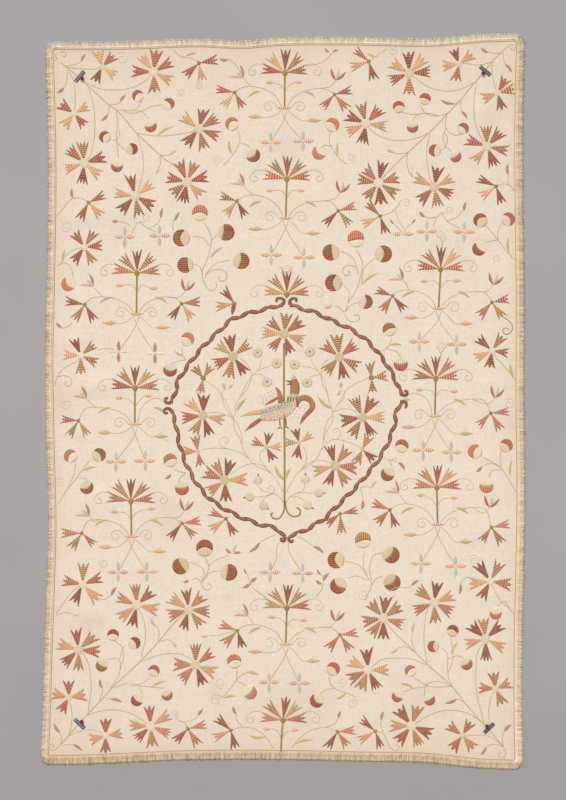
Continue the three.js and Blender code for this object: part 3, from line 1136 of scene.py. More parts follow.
def flower_head(calyx, petals):
    """Five long petals fanned from a green cup, the level ones ending in a tendril."""
    for angle, key in parse_petals(petals):
        aim = heading(angle)
        level = abs(aim[0]) > 0.9
        reach = HEAD_REACH * chance.uniform(0.97, 1.03)
        petal(hung_petals, calyx, angle, HEAD_ROOT, reach, 13.0 if level else 12.2, key)
        if level:
            hand = 1 if aim[0] > 0 else -1
            ring = step(calyx, 32 * hand, -1)
            line = scroll(step(ring, 2.5 * hand, -4.5), ring, 1.1, -hand)
            lead = [step(calyx, 21.5 * hand, -8), step(calyx, 28 * hand, -9)]
            twig(np.concatenate([lead, line]), 2.0, 0.7)
    leaf(greenery, step(calyx, 0, 4.5), step(calyx, 0, -2.6), 19, dyed("olive"), 2.0, 0.6, 0.0)


def tulip(base, hand):
    """A bud of three long parts: one upright, one to the side, and a pale one between them."""
    for turn, reach, key in LEFT_TULIP if hand < 0 else RIGHT_TULIP:
        tip = base + reach * heading(turn + chance.uniform(-5, 5))
        bud(base, tip, 9.5, key, curve=0.07 * np.sign(turn - 90) * hand)


def tree_arm(tie, flower, hand):
    """A broad arch from the tie to a hanging flower, with a leaf; gives the fork for a bud's stem."""
    reach = abs(flower[0] - tie[0])
    peak = max(flower[1] - tie[1] + 6 * PIXEL_MM, 17 * PIXEL_MM)
    arch = [tie + np.array([hand * share * reach, rise * peak]) for share, rise in (*ARCH, FORK)]
    twig([step(tie, hand * 3, -2), *arch[:-1], flower], 2.4)
    near = 24 if hand < 0 else 18
    bud(step(tie, hand * near, -16.8), step(tie, hand * (near + 13), -10.5), 9, "leaf", curve=0.1 * hand)
    return arch[-1]


# %% One tree


def tree_arms(tie, row):
    """Both arms with their hanging flowers, the curls beside the tie, and the tulips."""
    forks = {}
    for flower in route(row.arms):
        hand = hand_of(flower, tie)
        forks[hand] = tree_arm(tie, flower, hand)
        ring = step(tie, hand * 15.5, -0.8)
        curl = scroll(step(ring, -hand * 3, -5), ring, 1.2, -hand)
        twig(np.concatenate([[step(tie, hand * 7, -1)], curl]), 2.0, 0.7)
    for base in route(row.tulips):
        hand = hand_of(base, tie)
        twig([forks[hand], step(base, -hand * 4, 5), base], 2.3)
        tulip(base, hand)


def flower_tree(row):
    calyx = route(row.calyx)[0]
    tie = route(row.tie)[0]
    flower_head(calyx, row.petals)
    stem(stems, [step(calyx, 0, 3), (calyx + tie) / 2, tie], 6.0, dyed("olive"), 1.2, 0.22)
    bud(step(tie, -7.5, 0), step(tie, 7.5, 0), 11, "pink", 1.5)
    tree_arms(tie, row)
    for spot in route(row.buds):
        hand = hand_of(spot, calyx)
        twig([step(calyx, 0, 19), step(calyx, hand * 5, 12), step(spot, -hand * 3, 0)], 2.2)
        bud(step(spot, -hand * 4, 0), step(spot, hand * 4.5, 0), 12, "pink")
    for ear in route(row.ears):
        hand = hand_of(ear, tie)
        line = [step(tie, hand * 3, 2), step(tie, hand * 8, 6.5)]
        twig(line + [step(ear, -hand * 8, 0.5), step(ear, -hand * 5, 0)], 2.0)
        bud(step(ear, -hand * 7, 0), step(ear, hand * 7.5, 0), 13, "yellow")
        bud(step(ear, -hand * 5, -1), step(ear, hand * 2, -5.5), 5, "cream", 0.9)
        bud(step(ear, hand * 2, 1.5), step(ear, hand * 8, 5), 4, "cream", 0.9)
    for text in row.blossoms.split():
        foot = route(text)[0]
        hand = hand_of(foot, tie)
        twig([step(tie, -hand * 2.5, 2), step(tie, -hand * 2, 5), step(tie, 0, 10), foot], 2.4)
        blossom(text)


# %% Trees made
for row in TREES:
    flower_tree(row)
bud(*route(HORN), 15, "D", 1.4)
for calyx, petals in HEADS:
    flower_head(route(calyx)[0], petals)
for text in LONE_BLOSSOMS.split():
    blossom(text)
pieces.append(hung_petals.finish("hanging_and_tree_petals", banded_silk))

# %% [markdown]
# ## Berries
# Each berry is two halves of satin stitch, one dark and one cream, with the seam bulging into the dark
# half. A ball would stand up too far, so each half is a low domed strip.

# %% Berry table
# px, py, the way that the coloured half faces, and its thread, in a small letter where the colour takes more
CORNER_BERRIES = """
138,96,125B 168.5,104,35B 150.6,126,-80B 105,137,150D 132,149,15D 117,166,-90B 398.7,107,110B 425,99,75B
412.6,127,-85B 463,128.7,40B 434.8,150.4,170B 455.4,156.4,-60B 113.2,635,90D 134.4,643,25D
101.8,665.4,-115B 154,670.8,75B 137,700,-135D 167,694.7,-65B 452.7,630.7,70D 433.2,646.4,180b
466.3,663.8,-50B 410.4,670.8,120R 397.4,696.3,-130B 429.4,699.5,-65B 495.6,613.3,-95R
"""
SIDE_BERRIES = """
232,124,130R 253,155,-50D 68.4,284,-140R 187.5,339.3,45R 170.2,369.7,-100D 332.3,125,60R
319.3,152.6,-140R 480.4,220.4,140D 508,219.3,30B 479.3,248.6,-130D 365.4,301.8,0D 389.3,329.5,120B
400.7,363.7,-80B 70.6,456,140R 99,455,40D 86.6,487,-60D 170.2,460.3,100O 182,488,-80B 475,451.5,160R
506,445.6,40B 486.4,485.8,-95R 401.8,446,85B 387.7,474,-120D 234.2,661.3,100R 250,692.3,-50R 333,669,55B
317,700.4,-130D
"""
LARGE_BERRIES = """
200,213,90R 181.5,238,180D 226,232.4,0d 185.3,265,180d 241.2,261,0D 330.9,252.4,195D 355.9,239,90R
383.3,254,10D 333.6,282.8,180D 204.6,548,90D 180.7,566,200D 228.7,572.3,0D 363,540,90R 336,560,180D
391,554.7,-25D 338.3,585.5,-130D 392,582.3,-40D
"""
BerryGroup = namedtuple("BerryGroup", "text radius over bulge light strength dye")
BERRY_GROUPS = [
    BerryGroup(CORNER_BERRIES, 20.5, 0.06, (0.16, 0.42), (0.55, 1.0), 0.55, (1.0, 1.03, 1.03)),
    BerryGroup(SIDE_BERRIES, 24.0, 0.08, (0.16, 0.42), (0.55, 1.0), 0.55, (1.08, 1.1, 1.1)),
    BerryGroup(LARGE_BERRIES, 28.5, 0.18, (0.04, 0.34), (0.25, 0.7), 0.8, (1.06, 1.08, 0.84)),
]

# %% Berries made
BERRY_ROWS = 19
BERRY_DOME = np.array([[0.5, 0.9, 1.0, 1.0, 0.8]])
BERRY_HEIGHT = 0.45
SEAM_ROOM = 0.8
SEAM_LEAN = (0.02, 0.22)
MORE_COLOUR = 0.2
RED_DYE = 1.03
berries = Needlework()


def berry(centre, angle, radius, key, over, group):
    t = np.linspace(-0.97, 0.97, BERRY_ROWS)
    aim = heading(angle)
    level = np.array([-aim[1], aim[0]])
    bulge = chance.uniform(*group.bulge)
    lean = chance.choice([-1, 1]) * chance.uniform(*SEAM_LEAN)
    seam = radius * (bulge * (1 - 2 * t ** 2) + lean * t - over)
    rim = radius * np.sqrt(1 - t ** 2)
    seam = np.clip(seam, -rim + SEAM_ROOM, rim - SEAM_ROOM)
    rows = centre + radius * t[:, None] * level
    dome = BERRY_HEIGHT * (np.sqrt(1 - 0.9 * t ** 2)[:, None] * BERRY_DOME)
    light = 1.0 if key == "R" else chance.uniform(*group.light)
    pale = dyed("butter", 0.03) * light + dyed("beige", 0.05) * (1 - light)
    dye = np.array(group.dye) * (RED_DYE if key == "R" else 1.0)
    dark = dyed(key) * dye
    band = dark * (1 - group.strength) + BANDS[key] * dye * group.strength
    halves = (rim, seam, dome, dark, band), (seam, -rim, dome[:, ::-1], pale, None)
    for far, near, rise, tint, second in halves:
        berries.strip(rows + aim * far[:, None], rows + aim * near[:, None], rise, tint, threads_cross=True,
                      band=second, band_run=lambda plan: (plan - centre) @ level)


for group in BERRY_GROUPS:
    for word in group.text.split():
        px, py, rest = word.split(",")
        size = group.radius * chance.uniform(0.96, 1.04)
        over = group.over + (MORE_COLOUR if rest[-1].islower() else 0.0)
        berry(place(float(px), float(py)), float(rest[:-1]), size, rest[-1].upper(), over, group)
pieces.append(berries.finish("half_moon_berries", banded_silk))

# %% [markdown]
# ## Stems, leaves and buds
# Thin stems tie the flowers together: a spray across each corner, groups beside the trees, and sprigs
# from the hem. Each is a line of a few places with a soft curve through it, worked as a narrow raised
# strip.

# %% Stem tables
# one stem to a line: the places that it passes through
CORNER_STEMS = {"top left": """
60.6,61.5 66,67 72.5,72 83,81 96,93 109,105 116,110 136.5,133 160,155 183,175
87,83 101,89 116,90 132,87.5 148.5,78
87,83 92,99 95,125 93,145 90,156
109,105 120,102.7 123,99
109,105 108,113.5 104,118
116,110 122,110 135,110 142,100.5
122,110 129,113 142,111 153,106 162.5,105
135,111 141,111 148.5,119
116,111 117.5,120 116.5,133 117,145 118.6,159
118,128 119.7,133 116,140 111.6,140.6
116.5,140 118,143 124.6,150
136.5,133 147,135 159,136 180,134 194,131
137,133 142.5,152.6 143,171 138,190
160,155 168,155 173,152
160,155 159.5,166.7 157,170
65.5,65.8 70,65.4 75.5,64.3 81.5,61.5
66,67 83,69 97,68.5
68,70 66.6,81 65,86.4 62,89
69,71 73.6,81 75,91 74.7,109
""", "top right": """
503,50.6 494.5,59 480,76.6 470.6,87.5 461,99.4 448,113 429.4,132.5 407.7,152.6 387,173
477,81 457.6,90 444.6,91 429.4,87.5 415,77.7
476.6,83 474,100.5 474.4,119 481.5,138.5
461,99 455,104 447,104 443,101.5
461,99 461,110 464,115
448,113 438,116 425,113 420,105
440,116 425,113 414,114.6 402,112.4
430,114 423,113.5 415,117 412.6,121
447,114 445.7,127.6 454,135 463,134
445.7,127.6 443,138.5 444.6,145 451,151.5
444,133 446.8,136 445.7,146 440,151.5
429.4,132.5 418.6,137.4 401,140.6 385,138.5 370,128.7
430,133 426.7,150 428,169 430.5,180
407.7,152.6 397,153.6 390,151
407.7,152.6 406.6,163 409,172
500,53 490,52.8 486,51
503,51.5 503.3,58 504,62 505.6,65
492,62 479,65 463,63.6
493,61 491.8,67 493,79 496,89.7
""", "bottom left": """
61,744 68,736 83,719 99,702 109,691 120,680 141,660.5 158,642 180,617
87.7,714.7 91,682 83,654
87.7,714.7 105,710 129,712.6 145,722
99,702 102.4,687.6 101,683
104,697 109,698.5 118,701
61,744 61,735 58,729
61.4,745.4 66.8,744.5 73.4,744.4
109,691 120,670 119,659 107,659.4
120,671 123.5,655 122.4,647.5 114,640
120.8,657 122,650 125.7,645
114,688 129,682.7 138.7,684.4 149.5,678
129,685 148.5,686.5 164.7,688
138.7,685 142.5,694
141,657 145.7,635.6 140,610.6
142,661 159,655 184,655 192,660
158,642 170,640 174,644
158,642 158.8,631 153,622
68,736 80,731 95,730 102,733
69,735 70,731 72,715 70,702
""", "bottom right": """
503,746 491,732 482.6,723 468.5,707 453,687.6 427,664 415,652 389,626
484,723 476.6,693 475.8,668 477.7,651.7
489,730 489,722 489,707 493,693
484.7,724.5 468.5,713.6 450,710 429.4,714.7 417.5,722
464,702 457.6,699 449,701
503,746 502.5,735 506,729
503.5,746.5 495.5,744.2 490.5,744.6 486,746.8
453,688 448,673.5 451,666 453,657 450.6,636.6
448,672 447,666 447,653 442,647.5
448,659 457.6,655.6 464,658
452,686.5 436,681 426,685 424.5,696
450,686.5 429,686 413,677
430,686 427,686.5 414,688 403,692
427,663 424,644 425,622.5 429,607
426,665 412,659 396,658 379.5,660.5 373,666
415,652 411.5,640 413.5,628
415,652 403,646.4 393,651
502.6,745.8 497,741 487,735.5 475,735 464,736
"""}
GROUP_STEMS = {"large berries, upper and lower": """
204,283 202,274 208,257 211,236 204,222
209,245 203,238 192,236
202.7,274 199,266 193,264
211.5,240 217,235
205,275 215,264 230,260
345,312 348.6,302 355,292.6 360.5,276 362.7,264 356,249
358,274 352,257 340,251
348,303 348.6,291 342,283
361.6,285 364,268 375,258
346,311 352,304.5 359,302
344,312 340,308 334.5,305
203,581 208.7,567 205,557
201.6,582 204,571 196,564 188.6,562
203,581 211,572 219.5,571
208,566 216,560 229,555
201,582 197,578.5 191,579.6
365,600 371,586 370,564 374,555 382,552.5
371,586 376,578.5 383,576
369,580 364,569 364,551
367,576 359,565 345,561
367,580 357,576 347.5,578
388,592 400,586.7 407.7,587.7 413,584.5
266,597 258,592 252,586 249,579 247,574
316,597 322,588 323,580 321,574
204,281 207,287.8 212,290.4 216.6,286.5 215.5,282
204.5,279 207,273.8 216,269.3 223,270 227,275 225,280.6 219.8,280.8 218.5,277.6 221,275.8
355.2,267 349,265.2 343.7,267.7 342.7,272.3 346,275.6 350,273 347.7,270
344.5,313 347,319 353.5,322 359.8,318.5 358.7,315.3 353,315.6
173.5,231 173,222 175,218
203,580.5 201.6,583 203,587.6 207.6,590 211.4,587 210.2,584 206.4,583.8
208,635.8 216,635.4 225,633.2 236,630.5
""", "side groups": """
58,504 67,490 75,480 82,470 91,459
67,488 73.6,475 75.8,463
78,478 86,479 87,482
516,492 508,478 501,468 483,457
501,468 500,455 501,449
502,470 492,470.6 488.5,477
501,468 490,463 482.6,466
515,260 507,252 498,240 485,225
498,240 498,231 501.5,224
498,240 490,241 484.7,243
57,266 66,263 72,270 73,277
60,265 66,255 72,251 79,248
57,216 64,207 72,199 80,198 88,202
75,198 72.5,196
72.4,322.5 67,327 61.8,328 58.5,325.5
56.6,615.4 63,612.7 72.7,613.2
54.8,385.8 57.5,375.9 62.9,369.2 70,364.5 77.7,360.6
57.5,376.8 64.2,375.6 70,377.6 72,381.5 70.5,385.3 67.5,386.3 64.8,384.2 65.5,381.8 67.6,382
97.6,349.7 104,348.6 110,348.6 114,350
515,380 507,369 496,357
56,614 62,605 72,592 78,587
515,615 508,607.3 500.6,600.6 496,593.8
510,609 504,601 497,606
470,577 463,579 460,585
497,186 502,184 509,185 515,191
508,185 508,172
94,597 105,599 112,595
""", "sprigs by the wreath and the trees": """
186,360 183,356 182,346
186,360 178,361 171,364
382,351 389,345 392,337
386,349 397,352 401,358
186,473 177,470.6 173,468
186,473 180,478 179.4,483
384,458 390,460 397,457
389,459 392,466
390,460 397,461
222,698 228,690.6 236,680 237,668
236,681 243,683.6 247,687
236,680 243,674 249,672
329,676 330,683 337,689.5 347.5,693 356,697
335,688 327,689.5 320,694
238,131 240,139.5 237,148 231,157 223,166
240,143 247,145 251,148
329.6,132 329.6,143 333,150 340,159 347.5,164.5
332,146 324,145.5 321,148
132,233 139,222 145,222
139,222 148.5,228.6 157,232.4
131,226 123,222 116,221
148.5,228.6 158,223 161.5,216.6
433,226 441,213 447,213
441,213 447,221 460,228.6
438,216.6 429,218 423,215.6
447,221 457.6,216.6 464,209
381,216 390,213 396,208 401,200
395,210 398,219 404,229
173,49.5 180,56 192,58.7 198,62.5
369,61.5 378,55 387,48.4
187.5,728 184,722 178,720 176,716
184,722 195,718.5 200,714
376,731.5 383,733 387,741 391,748 396,750.5 399,747 397,744.5 394.5,746
383,732 380.6,724.5 382.5,718
273,747.6 266,737 255,729 243,727 231,730
291.8,747.6 300.5,737 314,729 326,727 337.4,731.5
278.6,542 276.5,548.6 276,559 271,570
288,542 289,550.7 293.3,559.4 301,571
276,534.5 267,538 260.7,542
296.5,535.6 304,539.4 312,545
243,727 237,720 235,712
281,740 278.5,732 274.5,729 270.5,728.5
281.5,742 284,734 287,731.4 290.5,730.5
326,727 336,722 339,716
440,262 441,240 436,234
441,245 446,236
436,371 440,352 436,346
440,354 446,346
287,288 285,272 279,266
286,274 293,266
306,66 317,64 326.5,59.5 330,55.5 332.8,51.8
329.4,56.4 329.8,54 329,52
243,77 238,68 232.5,61.5 227,59
360,488 366,486.5 371,488
360,488 362,494 363,500
403,234 408,226 412,224
403,234 397,227 394,224
"""}

# %% Stems made
MAIN_STEM_PLACES = 8
MAIN_STEM_MM = 3.4
STEM_MM = 2.6
NEAR_FLOWER_MM = 54


def to_disc(points):
    """A stem that stops short of a round flower is carried on to its disc."""
    for row in carnations:
        away = points[-1] - row.centre
        gap = np.hypot(*away)
        heart = SIZES[row.size].heart
        if heart + 2 < gap < NEAR_FLOWER_MM:
            return np.vstack([points, points[-1] - away * (1 - heart / gap)])
    return points


for groups, widest in ((CORNER_STEMS, MAIN_STEM_MM), (GROUP_STEMS, STEM_MM)):
    for line in all_lines(groups):
        points = route(line)
        width = widest if len(points) >= MAIN_STEM_PLACES else STEM_MM
        points = to_disc(points)
        points = to_disc(points[::-1])[::-1]
        twig(points, width)

# %% Scrolls
# thread, width in mm, and the places that the winding passes through
WINDINGS = """
stem 3 61,744 56,748.8 52.2,750.6 49.4,748.4 49.5,745.4 51.8,743.5 54,745.4 52.6,747.2 51.4,746.2
stem 3 503,746 505,750 505.6,754 503.6,757.4 500.4,757.8 498.2,755.4 498.8,753 501.4,752.8
stem 3 503,50.6 508.5,46.4 512.6,44.4 515,46.2 514.6,49.4 512.2,50.4 511.3,48.2 512.8,46.8
umber 3 502.5,316.5 507.5,320 511.5,324 512.5,328 511,332 506.5,334.5 503,332.5 502.5,330 \
504.5,328.2 507,328 509,330
umber 1.5 59.5,53.2 62.2,52 65.6,52.3 66.8,54.6 65.2,56.4 62.5,56.6
umber 1.5 57.2,53.8 54.8,55 55.6,57 57.2,58 56.4,60 54.8,61.5
"""
FOOT_STEM = "282.6,724 281.6,738 281,752"
# a start, then the middle of the spiral, and the way that it winds
SCROLLS = """
115,57,122,58.5,-1 184,96,182,92.5,-1 195,86,199,85,1 369.5,594,363.5,594.5,-1 63,486,61.5,481.5,-1
499,262,496,259,1 219,165,218.5,160,-1 351,163,351,158,1 222,698,216,700,1 354,698,352,703,-1
223,688,220.5,683,-1 339,686,342,682,1 148,222,146,218,1 450,214,449,210,1 402,201,406,203,-1
389,47,392.5,51,-1 175,717,174.5,713,1 60,228,66,226,1 137,179,141,182,1 444,237,440,235,1
444,349,441,346,1 283,266,287,268,1 62,400,66,404,1 505,400,509,404,-1 100,560,104,563,1
470,556,474,560,-1
"""
for word in SCROLLS.split():
    *places, hand = map(float, word.split(","))
    line = scroll(place(*places[:2]), place(*places[2:]), 1.4, int(hand))
    stem(stems, line, 2.0, dyed("faint"), 0.7)
for line in lines_of(WINDINGS):
    key, width, text = line.split(maxsplit=2)
    stem(stems, smooth(route(text), 3.0), float(width), dyed(key), 0.7)
stem(stems, route(FOOT_STEM), 6.0, dyed("olive"), 1.2, 0.22)
pieces.append(stems.finish("stems_and_scrolls", silk))

# %% Leaf and bud table
# base, tip, width in mm and thread
LEAVES = """
157,136,173,126.5,8.5,leaf 151,687,166.5,681,8.5,leaf 451.3,654.7,457.9,641.5,7.5,leaf
400,683,414,688.5,8.5,leaf 210,258,223,247,9,leaf 362,284,378.5,273,9,leaf 82,471,96.5,467,8.5,leaf
510,476,512,460,8.5,leaf 509,253,508.5,237,8.5,leaf 63,262,65,249,8.5,leaf 513.5,377,510,363,8.5,leaf
183,355.6,174.5,351,8,leaf 389,345,402,345,8.5,leaf 223,698,236,696,8.5,leaf 346,693,335,699,8.5,leaf
231.5,154,229,139.5,8.5,leaf 338,157,338,142,8.5,leaf 185,56.6,196.7,53,8,leaf 377,57,367,53,8,leaf
266,737,247.5,734.8,9,leaf 295,743.5,313.5,739.6,9,leaf 120,102,126,95,10,tan 108,114,101,121,10,tan
455,104,440,100,10,tan 461,111,467,119,10,tan 102,688,100,679,10,tan 110,699,122,702,10,tan
457,699,445,703,10,tan 81.2,61.6,85.8,54,9,tan 64.2,87.4,57,93,10.5,tan 488.4,52.8,480.6,47.6,10,tan
505.2,64.2,511.6,72.6,9,tan 60.4,733,54,723,10,tan 73,744.4,82,750.6,9.5,tan 504,731.5,511,724.5,12,tan
486,746.6,480.6,755,10,tan 170,155,177,150,9,blue 158.5,167,156,174,9,blue 394,152,386,149,9,blue
408,171,413,178,9,blue 172,641,176,648,9,blue 174,154,179,158,8,cream 159.5,166,162,172,8,cream
392,152.5,387,156.5,8,cream 410,165,413,171,8,cream 155,626,151,618,9,blue 412,632,415,622,9,blue
398,648,390,653,9,blue 175,221,180,212,10,tan 332,304.7,323.5,308,11,pink 62,328,56.2,322.3,10,tan
231.5,553,225.5,548.5,10,tan 233,553,237,544.5,10,blue 233.5,553.5,241,552.5,9,tan
189,580,183,582,10,tan 411,586,419,580,10,tan 247,574,244,568,7,tan 250.5,583,242,588,11,tan
250.5,583,257,577.5,11,tan 321,575,317,569,7,tan 323,581,329,573,11,tan 322,584,315.5,580,10,tan
482,466,476,472,10,tan 171,474,165,479,10,tan 398,462,405,470,10,tan 208,635.8,200.5,635.6,9,pink
246.8,671.6,258.4,674.6,12,pink 118,221,112,221,10,tan 161,218,163,208,10,tan 425,217,419,211,10,tan
464,211,466,202,10,tan 198,716,203,709,10,tan 381,720,384,711,10,tan 236,714,233,706,10,tan
338,718,341,711,10,tan 111,596,117,586.5,11,tan 460.4,583,459,595,10,tan 72.5,198,72,188,10,tan
508,175,508,163,10,tan 72,613,79.5,616,13,butter 329,52.3,324.6,48.3,8,tan 332.5,51.8,338,50.4,8,tan
260,542,248.8,552.4,11,tan 312.8,546,323.6,553,11,tan 270.5,728.5,262.5,727.5,12,pink
290.5,730.5,298.5,730,12,pink 228,60,219,59,10,tan 371,488,377,481,7,blue 363,500,361,510,11,tan
412,224,416,219,7,tan 394,224,390,219,7,tan
"""
for word in LEAVES.split():
    *numbers, key = word.split(",")
    base_x, base_y, tip_x, tip_y, width = map(float, numbers)
    bud(place(base_x, base_y), place(tip_x, tip_y), width, key, curve=0.08)
pieces.append(greenery.finish("leaves_buds_and_blossoms", banded_silk))

# %% [markdown]
# ## The wreath and its middle
# A wreath of rope stitch rings the centre, in four lengths with curled ends. Each length is one strip
# that waves along its line and swells into links, with pale specks where a second thread shows through.
# Inside stand a rooted stem with two vines, rosettes and acorns, and a bird.

# %% Wreath
Rope = namedtuple("Rope", "body start end")
WREATH = [
    Rope("283,304.6 270,308 252,312.5 233,319 216,334 200,350 187,367 178,381 175,393 171,403",
         "283,304.6 284,300.4 280.8,298.2 276.6,299.3 276.8,302", "171,403 165.5,402 165.8,398 168,398.6"),
    Rope("171,409.5 175,421 178.5,440 184.5,460 194,479 207,496 224,508.5 243,518 262,525 "
         "276,528.5 285,536.6",
         "171,409.5 166.5,408.5 163.9,411 165.8,413.4 168,412.4", "285,536.6 284,541 280.8,540 282,537.5"),
    Rope("290,304.8 300,308 316,313 332,320.5 350,329 366,340 379,354 390,370 397,384 402,395.5",
         "290,304.8 290,300.4 293.3,298.3 296.5,299.3 296,302", "402,395.5 407,394 406.8,391 404,391.5"),
    Rope("402.8,400.4 397,410 394.5,424 389,440 380,457 368,473 355,488 339,504 322,520 305,530 288.5,537",
         "402.8,400.4 406,403 406.3,406 405,408", "288.5,537 289,540 292,542 293,539.5"),
]
LINK = 34.0
SWING = 4.0
CALM_END = 30.0
ROPE_HALF = 4.0
ROPE_SWELL = 3.2
ROPE_TONE = 0.12
# painted light and shade: across its width the rope is painted lighter along its crest and darker towards its
# two sides
ROPE_PAINTED_LIGHT_AND_SHADE = np.array([0.86, 1.05, 1.25, 1.05, 0.86])[None, :, None]
ROPE_HEIGHT = 1.8
SPECK_PACE = 8.5
SPECK_HALF = 3.2
SPECK_WIDTH = 3.0
SPECK_HEIGHT = 2.3
SPECK_STRAY = 1.6
CURL_HALVES = (6.0, 4.0)
wreath = Needlework()
speck_count = 0
for row in WREATH:
    line = smooth(route(row.body), 3.0)
    run = lengthwise(line)
    fade = np.clip(np.minimum(run, run[-1] - run) / CALM_END, 0, 1)
    line = line + leftward(line) * (SWING * fade * np.sin(run / LINK * math.pi))[:, None]
    half = ROPE_HALF + ROPE_SWELL * np.abs(np.cos(run / LINK * math.pi)) ** 0.7
    skein = 1 + ROPE_TONE * np.sin(run / 53 + 4 * np.sin(run / 171))
    # the rope's tint carries painted light along its crest and painted shade at its sides
    blade(wreath, line, half, ROPE_HEIGHT, THREADS["rope"] * ROPE_PAINTED_LIGHT_AND_SHADE * skein[:, None, None])
    sideways = leftward(line)
    ahead = sideways[:, ::-1] * np.array([1, -1]) * SPECK_HALF
    for at in np.arange(5.0, run[-1] - 4, SPECK_PACE):
        k = int(np.searchsorted(run, at + chance.uniform(-2, 2)))
        middle = line[k] + sideways[k] * chance.uniform(-SPECK_STRAY, SPECK_STRAY)
        ends = (middle - ahead[k], middle + ahead[k])
        leaf(wreath, *ends, SPECK_WIDTH, dyed("speck"), SPECK_HEIGHT, 0.5, 0.0)
        speck_count += 1
    for text in (row.start, row.end):
        curl = smooth(route(text), 3.0)
        blade(wreath, curl, np.linspace(*CURL_HALVES, len(curl)), ROPE_HEIGHT, dyed("rope"))
print("specks on the wreath", speck_count)
pieces.append(wreath.finish("rope_wreath", silk))

# %% Stem, roots and vines inside the wreath
centre_work = Needlework()
THICK_STEM_MM = 3.5
MIDDLE_LEAF_MM = 11
STEM_TWIST = 0.22
# the width in mm, then the places that the stem passes through
MIDDLE_STEMS = {"stem and roots": """
6.5 284,343 284,400 284.5,450 284.5,506
5.5 284.6,500 283,512.8 278,518.7 272.7,517.7 271,514 273.2,512.8
5.5 284.8,500 289,514 294.4,516.6 299.8,514.4 299.8,509.5 296.5,507.4
""", "left vine, in two strands that cross": """
2.3 284.4,493 280,486 271.6,474 263,469 254.6,464.8 247.5,456.3 242.5,446.4 241.8,437 237.8,425 \
233.6,418.7
2.3 242.5,446.4 240,439 236,432 233.8,425 233.6,418.7 235.3,411 236,404.5 240.4,396.7 247,389.5 \
250.4,381 252,375.5
2.3 240.4,396.7 244,389 247.5,382 252,375.5 250,369 246,362.7 239.7,358
2.2 233.6,418.7 228,412 223.4,402.4 221.2,394.6 213.4,386 206.3,381
1.9 233.6,418.7 229,408 225,400 221.2,394.6
2.2 233.6,418.7 224.8,414.5 216,412.3 207.8,413
2.2 248.9,458.4 240.4,452.8 230.5,449.5 219,448 208,448.5 200,450
2.2 271.6,474 262,465 254.6,463.5 246,464.8 237.6,469 230,475
2.2 271.6,474 264.5,465.5 260,457.7 261,452 264.6,449
1.9 230.5,449.5 222,446 219,441.4 221.2,438 225.5,437 228.6,440.7 226.2,443.2 224,441.4
2.0 256,372 260.5,365.5 261,358
2.0 252,375.5 256,371.9 263,368.4 271,365
2.0 252,375.5 260,374 265.5,377.5
""", "right vine": """
2.3 285.7,493 290,484.7 295.6,475.5 301.3,469.8 308.4,466.2 316.9,457.7 321,450 323.3,442 325.4,433.6 \
331.8,422.3 333.6,415.2
2.3 323.3,440 324.5,430 327.5,421 332.5,413.5 331.5,408 328.9,401 326.8,392.5 322.6,384 321,377 \
321.6,370.5 324,363.4 329,358.5
2.0 328.9,401 327.5,394 326,386.8 324,379.7 320.4,374
2.2 333,412 338.2,403.8 342.4,396.7 345.2,391 356.6,383.3 368,377.8
1.9 338.2,403.8 343.5,398.5 345.2,391
2.2 333,412 342.4,408.8 351,409.5 357.3,412.3
2.2 321.8,450 326,444.3 332.5,439.3 341,440 353.8,444.3 361,448
2.2 302,469.3 305.5,465.5 312.6,461.3 322.6,460.6 331,462.7
2.2 301.3,469.8 306,461 306.2,453.5 302.7,446
1.9 337.4,438.5 340.7,433.6 339,429.5 335.3,428.2 333.2,430.8 335,433
2.0 320.4,374 314,365.5 310,357
2.0 320.4,374 317,370.5 308.4,367 300,366
2.0 320.4,374.5 314,375.5 309.5,377.5
""", "acorn stems": """
2.1 283.7,503 280,497.4 273,493.2 268.8,492.5 261.7,489.6 257.6,485
2.1 273,493.2 263,496.5 254.6,496.7
2.1 273,493.5 265,498 262,501.7
1.8 273,493.2 274.4,489 273,486 269.5,485.8 268,488.2 270,490
2.1 285.7,503 290,496.7 297,492.9 303.4,489.6 305,483.5
2.1 297,492.9 303.4,492.5 313.5,493
2.1 290,496.7 299.9,497.4 304.6,501
""", "faint sprigs": """
1.8 222,395 223,391 226,389.5
1.8 342.4,391.5 339.5,389.8 338.8,392.5 341,393
"""}
MIDDLE_LEAVES = """
284.3,480.5,274.5,465.5,leaf 284.6,480.5,291,468,leaf 236.5,411,246.8,398.2,leaf 331.8,408.8,317.2,396,leaf
225.5,389.5,223.4,382.6,faint 228.5,389,233,384.5,grey 341,388,341.6,381.5,grey 339.2,391,337,395.8,faint
"""
for line in all_lines(MIDDLE_STEMS):
    width, text = line.split(maxsplit=1)
    width = float(width)
    thick = width > THICK_STEM_MM
    key = "olive" if thick else "stem"
    stem(centre_work, route(text), width, dyed(key), twist=STEM_TWIST if thick else 0.0)
for word in MIDDLE_LEAVES.split():
    *numbers, key = word.split(",")
    base_x, base_y, tip_x, tip_y = map(float, numbers)
    leaf(centre_work, place(base_x, base_y), place(tip_x, tip_y), MIDDLE_LEAF_MM, dyed(key), 1.0)

# %% Rosettes and acorns
ROSETTES = "257.5,352.5 276.5,363.3 267.2,381.8 309.8,351.7 294.6,364.4 307.2,382.6"
ROSETTE_RIM = linear(220, 195, 154)
ROSETTE_FILL = linear(239, 221, 188)
ROSETTE_TINTS = [THREADS["brown"], ROSETTE_RIM, ROSETTE_FILL, ROSETTE_RIM, ROSETTE_FILL, ROSETTE_RIM]
ROSETTE_RADII = [2.4, 3.8, 6.5, 9.8, 13.4, 17.4]
ROSETTE_RISES = [0.9, 0.7, 0.7, 0.6, 0.55, 0.3]
